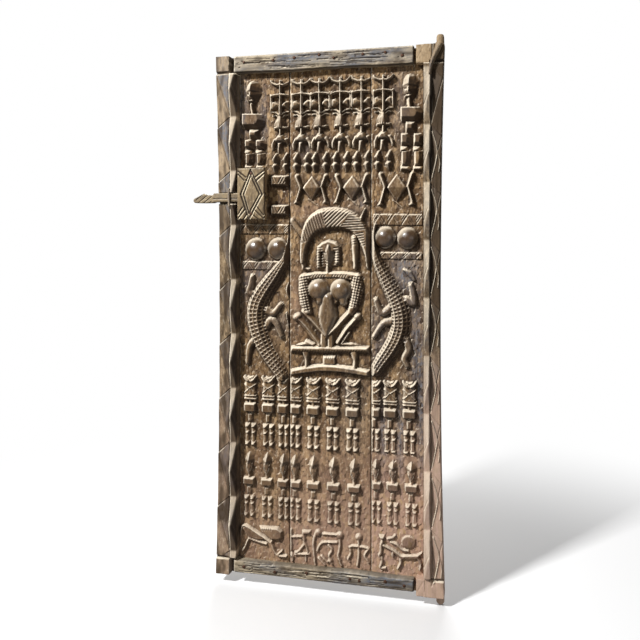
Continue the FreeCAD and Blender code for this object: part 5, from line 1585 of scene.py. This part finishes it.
def hammered_heads(name, places, seed):
    """Domed nail heads, each a polar grid of its own radius with hammer flats, and a shank behind."""
    luck = np.random.default_rng(seed)
    share, out = (column[:, None] for column in np.array(NAIL_PROFILE).T)
    turns = 20
    angle = np.linspace(0, 2 * np.pi, turns, endpoint=False)[None]
    points, sides_all, caps_all = [], [], []
    for number, (x, y, z) in enumerate(places):
        radius = luck.uniform(5.4, 6.8)
        flats = (0.08 * np.sin(angle * 3 + luck.uniform(0, 6)), 0.05 * np.sin(angle * 5 + luck.uniform(0, 6)))
        reach = radius * share * (1 + flats[0] + flats[1])
        head = grid_points(x + reach * np.cos(angle), y - out, z + reach * np.sin(angle))
        points.append(head.reshape(-1, 3))
        quads, caps = ring_faces(number * share.size * turns, share.size, turns)
        sides_all.append(quads)
        caps_all += [caps[:1, ::-1], caps[1:]]
    mesh = make_mesh(name, np.vstack(points), [np.vstack(sides_all), np.vstack(caps_all)], [True, False])
    return bpy.data.objects.new(name, mesh)


def nail_places(node):
    """The middle and the front of each nail of a node, found from its mesh's separate lumps."""
    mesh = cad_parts[node].data
    co = np.zeros(len(mesh.vertices) * 3)
    mesh.vertices.foreach_get("co", co)
    co = co.reshape(-1, 3) / MM
    co = co[np.lexsort((np.round(co[:, 2], 0), np.round(co[:, 0], 0)))]
    groups = []
    for point in co:
        near = [group for group in groups if np.hypot(*(group[0][[0, 2]] - point[[0, 2]])) < NAIL_APART]
        if near:
            near[0].append(point)
        else:
            groups.append([point])
    places = []
    for group in groups:
        group = np.array(group)
        middle = (group.min(axis=0) + group.max(axis=0)) / 2
        places.append((middle[0], group[:, 1].min() + NAIL_HEAD_HEIGHT, middle[2]))
    return places


# Materials

def linear(code):
    """A colour written as sRGB hex, turned to linear light."""
    values = np.array([int(code[i:i + 2], 16) for i in (1, 3, 5)]) / 255
    values = np.where(values <= 0.04045, values / 12.92, ((values + 0.055) / 1.055) ** 2.4)
    return (*values.tolist(), 1.0)


def add_node(tree, kind, inputs=None, **settings):
    """Adds a node with its properties. Its sockets get values, other sockets or nodes' first outputs."""
    node = tree.nodes.new(kind)
    for key, value in settings.items():
        setattr(node, key, value)
    for socket, value in (inputs or {}).items():
        if isinstance(value, bpy.types.Node):
            value = value.outputs[0]
        if isinstance(value, bpy.types.NodeSocket):
            tree.links.new(value, node.inputs[socket])
        else:
            node.inputs[socket].default_value = value
    return node


def new_material(name):
    """An empty node material, and its tree."""
    material = bpy.data.materials.new(name)
    material.use_nodes = True
    tree = material.node_tree
    tree.nodes.clear()
    return material, tree


# Patterns in wood: how wide and how long each is in millimetres, and its noise's detail and roughness.
# Grain is growth rings, patches are smoke and handling, mottling and specks are what a tool leaves.
WOOD_PATTERNS = {"grain": (4.0, 71.4286, 6.0, 0.62), "broad": (90.9091, 267.3797, 5.0, 0.6),
                 "patch": (33.3333, 98.0392, 6.0, 0.65), "fine": (7.692308, 16.129032, 7.0, 0.7),
                 "speck": (2.380952, 2.380952, 3.0, 0.6)}

# Layers of bare wood: its pattern, where it starts and is full, its strength there, and its colour
BARE_LAYERS = (("broad", 0.34, 0.66, 0.0, 1.0, "light"), ("patch", 0.44, 0.68, 0.0, 0.7, "deep"),
               ("fine", 0.51, 0.64, 0.0, 0.75, "deep"), ("fine", 0.45, 0.34, 0.0, 0.36, "worn_and_highlight"))

# Layers that a piece's own painted attributes place, each broken up by a pattern
PLACED_LAYERS = (("red", "fine", 0.3, 0.6, 0.6, 1.0, "red"), ("grey", "fine", 0.36, 0.6, 0.25, 1.0, "grey"),
                 ("pale", "grain", 0.35, 0.6, 0.3, 1.0, "light"),
                 ("low", "grain", 0.35, 0.6, 0.9, 0.4, "deep"),
                 # Dark patina, with painted shade on the stiles' flanks and on the notch cuts that face down
                 ("stain_and_shade", "fine", 0.3, 0.62, 1.0, 0.75, "stain_and_shade"),
                 # Hollows: grime, with painted shade in the recesses and on the sides turned from the light
                 ("hollow", "fine", 0.3, 0.7, 1.0, 0.7, "grime_and_shade"),
                 # Rubbed edges with their painted highlight
                 ("edge", "patch", 0.35, 0.62, 1.0, 0.7, "worn_and_highlight"))


def weathered_wood(name, colours, painted=True, grain_axis=2, shine=0.62, streaks=0.4):
    """Adzed and carved hardwood, dark with handling and smoke, pale where edges wore through to the wood,
    with a painted highlight and painted shade laid in from its attributes.

    Grain runs with the timber. Hollows keep grime and painted shade, high edges are rubbed pale and take a
    painted highlight, the sides turned from the light take painted shade, and rain has greyed some places.
    """
    material, tree = new_material(name)
    spot = add_node(tree, "ShaderNodeTexCoord").outputs["Object"]
    pattern = {}
    for key, (wide, long, detail, roughness) in WOOD_PATTERNS.items():
        scale = [1 / (wide * MM)] * 3
        scale[grain_axis] = 1 / (long * MM)
        drawn_out = add_node(tree, "ShaderNodeMapping", {"Vector": spot, "Scale": scale})
        pattern[key] = add_node(tree, "ShaderNodeTexNoise", {
            "Vector": drawn_out, "Scale": 1.0, "Detail": detail, "Roughness": roughness})
    mask = {}
    layers = [(None,) + layer for layer in BARE_LAYERS] + [(None, "grain", 0.50, 0.70, 0.0, streaks, "deep")]
    if painted:
        for attribute, names in (("weather", ("edge", "hollow", "stain_and_shade", "polish")),
                                 ("tint", ("grey", "red", "pale", "low"))):
            read = add_node(tree, "ShaderNodeAttribute", attribute_name=attribute)
            parts = add_node(tree, "ShaderNodeSeparateColor", {0: read.outputs["Color"]})
            mask.update(zip(names, [*parts.outputs, read.outputs["Alpha"]]))
        layers += PLACED_LAYERS
    layers.append((None, "speck", 0.60, 0.74, 0.0, 0.35, "grime_and_shade"))
    colour = linear(colours["body"])
    for where, key, start, full, least, most, paint_name in layers:
        factor = add_node(tree, "ShaderNodeMapRange", {
            "Value": pattern[key], "From Min": start, "From Max": full, "To Min": least, "To Max": most})
        if where:
            factor = add_node(tree, "ShaderNodeMath", {0: mask[where], 1: factor}, operation="MULTIPLY",
                              use_clamp=True)
        colour = add_node(tree, "ShaderNodeMix", {0: factor, 6: colour, 7: linear(colours[paint_name])},
                          data_type="RGBA").outputs[2]
    rough = add_node(tree, "ShaderNodeMapRange", {"Value": pattern["fine"], "From Min": 0.3, "From Max": 0.7,
                                                  "To Min": shine, "To Max": shine + 0.2})
    if painted:
        smoother = add_node(tree, "ShaderNodeMath", {0: mask["polish"], 1: 0.38}, operation="MULTIPLY",
                            use_clamp=True)
        rough = add_node(tree, "ShaderNodeMath", {0: rough, 1: smoother}, operation="SUBTRACT",
                         use_clamp=True)
    # Fibres stand up to 0.9 mm proud, and tool chatter up to 1 mm
    bump = add_node(tree, "ShaderNodeBump", {"Height": pattern["grain"], "Strength": 0.75,
                                             "Distance": 0.9 * MM})
    bump = add_node(tree, "ShaderNodeBump", {"Height": pattern["fine"], "Strength": 0.8, "Distance": 1.0 * MM,
                                             "Normal": bump})
    shader = add_node(tree, "ShaderNodeBsdfPrincipled", {
        "Base Color": colour, "Roughness": rough, "Normal": bump, "IOR": 1.46, "Specular IOR Level": 0.4,
        "Coat Roughness": 0.27})
    if painted:
        tree.links.new(mask["polish"], shader.inputs["Coat Weight"])
    add_node(tree, "ShaderNodeOutputMaterial", {0: shader})
    return material


# How far across a bloom of rust is
RUST_BLOOM = 3.0303


def forged_iron():
    """Hand-forged iron, rusted brown, rubbed darker and smoother on the hammered heads."""
    material, tree = new_material("forged_iron_rusted")
    spot = add_node(tree, "ShaderNodeTexCoord").outputs["Object"]
    bloom = add_node(tree, "ShaderNodeTexNoise", {"Vector": spot, "Scale": 1 / (RUST_BLOOM * MM),
                                                 "Detail": 5.0})
    colour = add_node(tree, "ShaderNodeMix", {0: bloom, 6: linear("#2a211c"), 7: linear("#6a4630")},
                      data_type="RGBA").outputs[2]
    rough = add_node(tree, "ShaderNodeMapRange", {"Value": bloom, "From Min": 0.3, "From Max": 0.7,
                                                  "To Min": 0.45, "To Max": 0.85})
    bump = add_node(tree, "ShaderNodeBump", {"Height": bloom, "Strength": 0.6, "Distance": 0.6 * MM})
    shader = add_node(tree, "ShaderNodeBsdfPrincipled", {"Base Color": colour, "Roughness": rough,
                                                         "Normal": bump, "Metallic": 0.55})
    add_node(tree, "ShaderNodeOutputMaterial", {0: shader})
    return material


def colours_of(*codes):
    """One wood's colours: in deep grain, over most of it, and so on to the grime and painted shade, and to
    where it is rubbed pale and painted with a highlight.
    """
    return dict(zip(("deep", "body", "light", "red", "grey", "stain_and_shade", "grime_and_shade", "worn_and_highlight"), codes))


PLANK_COLOURS = colours_of("#38220c", "#694b2a", "#a88a62", "#bd9a86",
                           "#6a6e76", "#3c2815", "#221204", "#f3e4cc")
STILE_COLOURS = colours_of("#38291a", "#6c573d", "#a8906f", "#ccab9c",
                           "#757a83", "#33230f", "#1f1106", "#f0e2ca")
RAIL_COLOURS = colours_of("#3a2c1d", "#64563f", "#ad9e84", "#84695a",
                          "#6c727b", "#302213", "#211508", "#eadcc4")
LOCK_COLOURS = colours_of("#412c16", "#6e5836", "#a38b63", "#8a6448",
                          "#77746c", "#33230f", "#211304", "#f2e2c0")

materials = {}


def wood(name, colours, **choices):
    """A wood's material, made the first time that it is asked for."""
    if name not in materials:
        materials[name] = weathered_wood(name, colours, **choices)
    return materials[name]


def iron():
    """The one iron that nails and staples share."""
    if "iron" not in materials:
        materials["iron"] = forged_iron()
    return materials["iron"]


# The add-on's settings

class DoorSizes(bpy.types.PropertyGroup):
    """Sizes and powers that the panel offers"""
    plank_step: FloatProperty(
        name="Plank carving step", description="Distance between points on the outer planks",
        default=2.1 * MM, unit="LENGTH")
    middle_step: FloatProperty(
        name="Middle plank step", description="Distance between points on the middle plank",
        default=2.6 * MM, unit="LENGTH")
    floor_size: FloatProperty(name="Floor", description="Side of the floor", default=14.0, unit="LENGTH")
    key_energy: FloatProperty(name="Key light", description="Power of the key light", default=500.0,
                              unit="POWER")


class DoorColours(bpy.types.PropertyGroup):
    """Colours that the panel offers"""
    floor: FloatVectorProperty(name="Floor", description="Colour of the floor", size=3, subtype="COLOR",
                               default=(0.86, 0.86, 0.86))


def replace_node(obj, node, material, body="leaf"):
    """A finished piece in the place of one node of the frame."""
    return dress(obj, body, material, (node,))


def refinish(node, material):
    """A better material on a node that keeps its own mesh."""
    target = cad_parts[node]
    target.data.materials.clear()
    target.data.materials.append(material)


class DOOR_OT_left_plank(bpy.types.Operator):
    """Carves the left plank with its crocodile and the stops of the bolt"""
    bl_idname = "door.left_plank"
    bl_label = "Left Plank"

    def execute(self, context):
        step = context.scene.door_sizes.plank_step / MM
        obj = carve_plank("left_plank", left_plank_forms, step, seed=101, tint=LEFT_TINT)
        replace_node(obj, "left_plank", wood("carved_hardwood_smoked_with_painted_light", PLANK_COLOURS))
        return {"FINISHED"}


class DOOR_OT_middle_plank(bpy.types.Operator):
    """Carves the middle plank with the dancers, the arched animal and the seated figure"""
    bl_idname = "door.middle_plank"
    bl_label = "Middle Plank"

    def execute(self, context):
        step = context.scene.door_sizes.middle_step / MM
        obj = carve_plank("middle_plank", middle_plank_forms, step, seed=111, tint=MIDDLE_TINT)
        replace_node(obj, "middle_plank", wood("carved_hardwood_smoked_with_painted_light", PLANK_COLOURS))
        return {"FINISHED"}


class DOOR_OT_right_plank(bpy.types.Operator):
    """Carves the right plank with the other crocodile"""
    bl_idname = "door.right_plank"
    bl_label = "Right Plank"

    def execute(self, context):
        step = context.scene.door_sizes.plank_step / MM
        obj = carve_plank("right_plank", right_plank_forms, step, seed=121, tint=RIGHT_TINT)
        replace_node(obj, "right_plank", wood("carved_hardwood_smoked_with_painted_light", PLANK_COLOURS))
        return {"FINISHED"}


class DOOR_OT_stiles(bpy.types.Operator):
    """Carves the two bowed stiles, their notched fins and the pivots"""
    bl_idname = "door.stiles"
    bl_label = "Stiles"

    def execute(self, context):
        finish = wood("adzed_hardwood_stile", STILE_COLOURS)
        replace_node(left_stile_object(), "left_stile", finish)
        replace_node(right_stile_object(), "right_stile", finish)
        return {"FINISHED"}


class DOOR_OT_rails(bpy.types.Operator):
    """Hews the rails across the planks' ends"""
    bl_idname = "door.rails"
    bl_label = "Rails"

    def execute(self, context):
        finish = wood("hewn_hardwood_greyed", RAIL_COLOURS, grain_axis=0, shine=0.7, streaks=0.95)
        replace_node(hew_rail("top_rail", 41), "top_rail", finish)
        replace_node(hew_rail("bottom_rail", 61), "bottom_rail", finish)
        return {"FINISHED"}


class DOOR_OT_lock(bpy.types.Operator):
    """Carves the lock case's face and the bolt, and finishes the case and its pins"""
    bl_idname = "door.lock"
    bl_label = "Lock"

    def execute(self, context):
        face = wood("handled_hardwood_lock", LOCK_COLOURS, shine=0.5)
        dress(lock_face_object(), "leaf", face)
        replace_node(bolt_object(), "lock_bolt",
                     wood("handled_hardwood_bolt", LOCK_COLOURS, grain_axis=0, shine=0.5), "bolt")
        plain = wood("plain_hardwood_lock_sides", STILE_COLOURS, painted=False)
        for node in ("lock_case",) + TUMBLERS:
            refinish(node, plain)
        return {"FINISHED"}


class DOOR_OT_iron(bpy.types.Operator):
    """Forges the nails' heads and finishes the staples on the back"""
    bl_idname = "door.iron"
    bl_label = "Iron"

    def execute(self, context):
        for seed, node in enumerate(("top_rail_nails", "bottom_rail_nails", "lock_nails")):
            obj = hammered_heads(node + "_forged", nail_places(node), 900 + seed)
            replace_node(obj, node, iron())
        refinish("back_staples", iron())
        return {"FINISHED"}


# The stage, in metres: the leaf's middle, and the floor's gap under its foot. The sensor is in millimetres.
LEAF_MIDDLE = -0.43
FLOOR_GAP = 0.002
SENSOR = 36.0


class DOOR_OT_stage(bpy.types.Operator):
    """Sets out the floor, the lamps, the world and the camera"""
    bl_idname = "door.stage"
    bl_label = "Stage"

    def execute(self, context):
        scene = context.scene
        sizes, colours = scene.door_sizes, scene.door_colours
        half = sizes.floor_size / 2
        floor_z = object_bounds()[0][2] - FLOOR_GAP
        mesh = bpy.data.meshes.new("floor")
        mesh.from_pydata([(-half, -half, floor_z), (half, -half, floor_z), (half, half, floor_z),
                          (-half, half, floor_z)], [], [(0, 1, 2, 3)])
        floor = bpy.data.objects.new("floor", mesh)
        scene.collection.objects.link(floor)
        mesh.materials.append(floor_paint(colours.floor))
        floor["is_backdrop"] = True

        scene.world = studio_world()
        for name, stand, aim_high, size, energy in (
                ("key_light", (-3.0, -3.7, 4.6), 1.05, 0.6, sizes.key_energy),
                ("fill_light", (2.6, -3.4, 1.6), 1.0, 2.4, sizes.key_energy * 0.04),
                ("back_light", (-0.8, 3.4, 2.6), 1.0, 2.4, sizes.key_energy * 0.25)):
            lamp = bpy.data.lights.new(name, "AREA")
            lamp.shape = "SQUARE"
            lamp.size = size
            lamp.energy = energy
            obj = bpy.data.objects.new(name, lamp)
            scene.collection.objects.link(obj)
            obj.location = stand
            run = np.array([LEAF_MIDDLE, 0.0, aim_high]) - np.array(stand)
            obj.rotation_euler = (math.atan2(math.hypot(run[0], run[1]), -run[2]), 0,
                                  math.atan2(run[1], run[0]) - math.pi / 2)

        lens = bpy.data.cameras.new("camera")
        camera = bpy.data.objects.new("camera", lens)
        scene.collection.objects.link(camera)
        camera.location = CAMERA * MM
        camera.rotation_euler = (math.pi / 2, 0, TURN)
        lens.sensor_width = SENSOR
        lens.lens = SENSOR * FOCAL / PHOTO_SIDE
        lens.shift_y = (HORIZON - PHOTO_SIDE / 2) / PHOTO_SIDE
        scene.camera = camera
        scene.view_settings.view_transform = "Standard"
        return {"FINISHED"}


def floor_paint(colour):
    """Matt white studio floor that fades into the white backdrop away from the object."""
    material, tree = new_material("matt_studio_floor")
    spot = add_node(tree, "ShaderNodeTexCoord").outputs["Object"]
    flat = add_node(tree, "ShaderNodeMapping", {"Vector": spot, "Location": (-LEAF_MIDDLE, 0.0, 0.0),
                                                "Scale": (1.0, 1.0, 0.0)})
    away = add_node(tree, "ShaderNodeVectorMath", {0: flat}, operation="LENGTH").outputs["Value"]
    fade = add_node(tree, "ShaderNodeMapRange", {"Value": away, "From Min": 1.0, "From Max": 2.6},
                    interpolation_type="SMOOTHSTEP")
    rays = add_node(tree, "ShaderNodeLightPath").outputs["Is Camera Ray"]
    # The floor throws back half of what the camera sees on it, so that undersides stay dark
    seen_as = add_node(tree, "ShaderNodeMix", {0: rays, 6: (0.32, 0.32, 0.32, 1.0), 7: (*colour, 1.0)},
                       data_type="RGBA").outputs[2]
    matt = add_node(tree, "ShaderNodeBsdfPrincipled", {"Base Color": seen_as, "Roughness": 0.9})
    glow = add_node(tree, "ShaderNodeEmission", {"Color": (1.0, 1.0, 1.0, 1.0), "Strength": 1.0})
    factor = add_node(tree, "ShaderNodeMath", {0: fade, 1: rays}, operation="MULTIPLY")
    both = add_node(tree, "ShaderNodeMixShader", {0: factor, 1: matt, 2: glow})
    add_node(tree, "ShaderNodeOutputMaterial", {0: both})
    return material


def studio_world():
    """A soft pale surround for the light, white where the camera sees it."""
    world = bpy.data.worlds.new("studio")
    world.use_nodes = True
    tree = world.node_tree
    tree.nodes.clear()
    rays = add_node(tree, "ShaderNodeLightPath").outputs["Is Camera Ray"]
    strength = add_node(tree, "ShaderNodeMapRange", {"Value": rays, "To Min": 0.11, "To Max": 1.0})
    back = add_node(tree, "ShaderNodeBackground", {"Color": (1.0, 1.0, 1.0, 1.0), "Strength": strength})
    add_node(tree, "ShaderNodeOutputWorld", {0: back})
    return world


OPERATORS = (DOOR_OT_left_plank, DOOR_OT_middle_plank, DOOR_OT_right_plank, DOOR_OT_stiles, DOOR_OT_rails,
             DOOR_OT_lock, DOOR_OT_iron, DOOR_OT_stage)


class DOOR_PT_panel(bpy.types.Panel):
    bl_label = "Door Leaf"
    bl_idname = "DOOR_PT_panel"
    bl_space_type = "VIEW_3D"
    bl_region_type = "UI"
    bl_category = "Door Leaf"

    def draw(self, context):
        for operator in OPERATORS:
            self.layout.operator(operator.bl_idname)
        for group in (context.scene.door_sizes, context.scene.door_colours):
            for name in group.__annotations__:
                self.layout.prop(group, name)


CLASSES = (DoorSizes, DoorColours) + OPERATORS + (DOOR_PT_panel,)


def register():
    for item in CLASSES:
        bpy.utils.register_class(item)
    bpy.types.Scene.door_sizes = PointerProperty(type=DoorSizes)
    bpy.types.Scene.door_colours = PointerProperty(type=DoorColours)


def unregister():
    del bpy.types.Scene.door_colours
    del bpy.types.Scene.door_sizes
    for item in reversed(CLASSES):
        bpy.utils.unregister_class(item)


def main():
    register()
    for step in ("left_plank", "middle_plank", "right_plank", "stiles", "rails", "lock", "iron", "stage"):
        getattr(bpy.ops.door, step)()


if __name__ == "__main__":
    main()
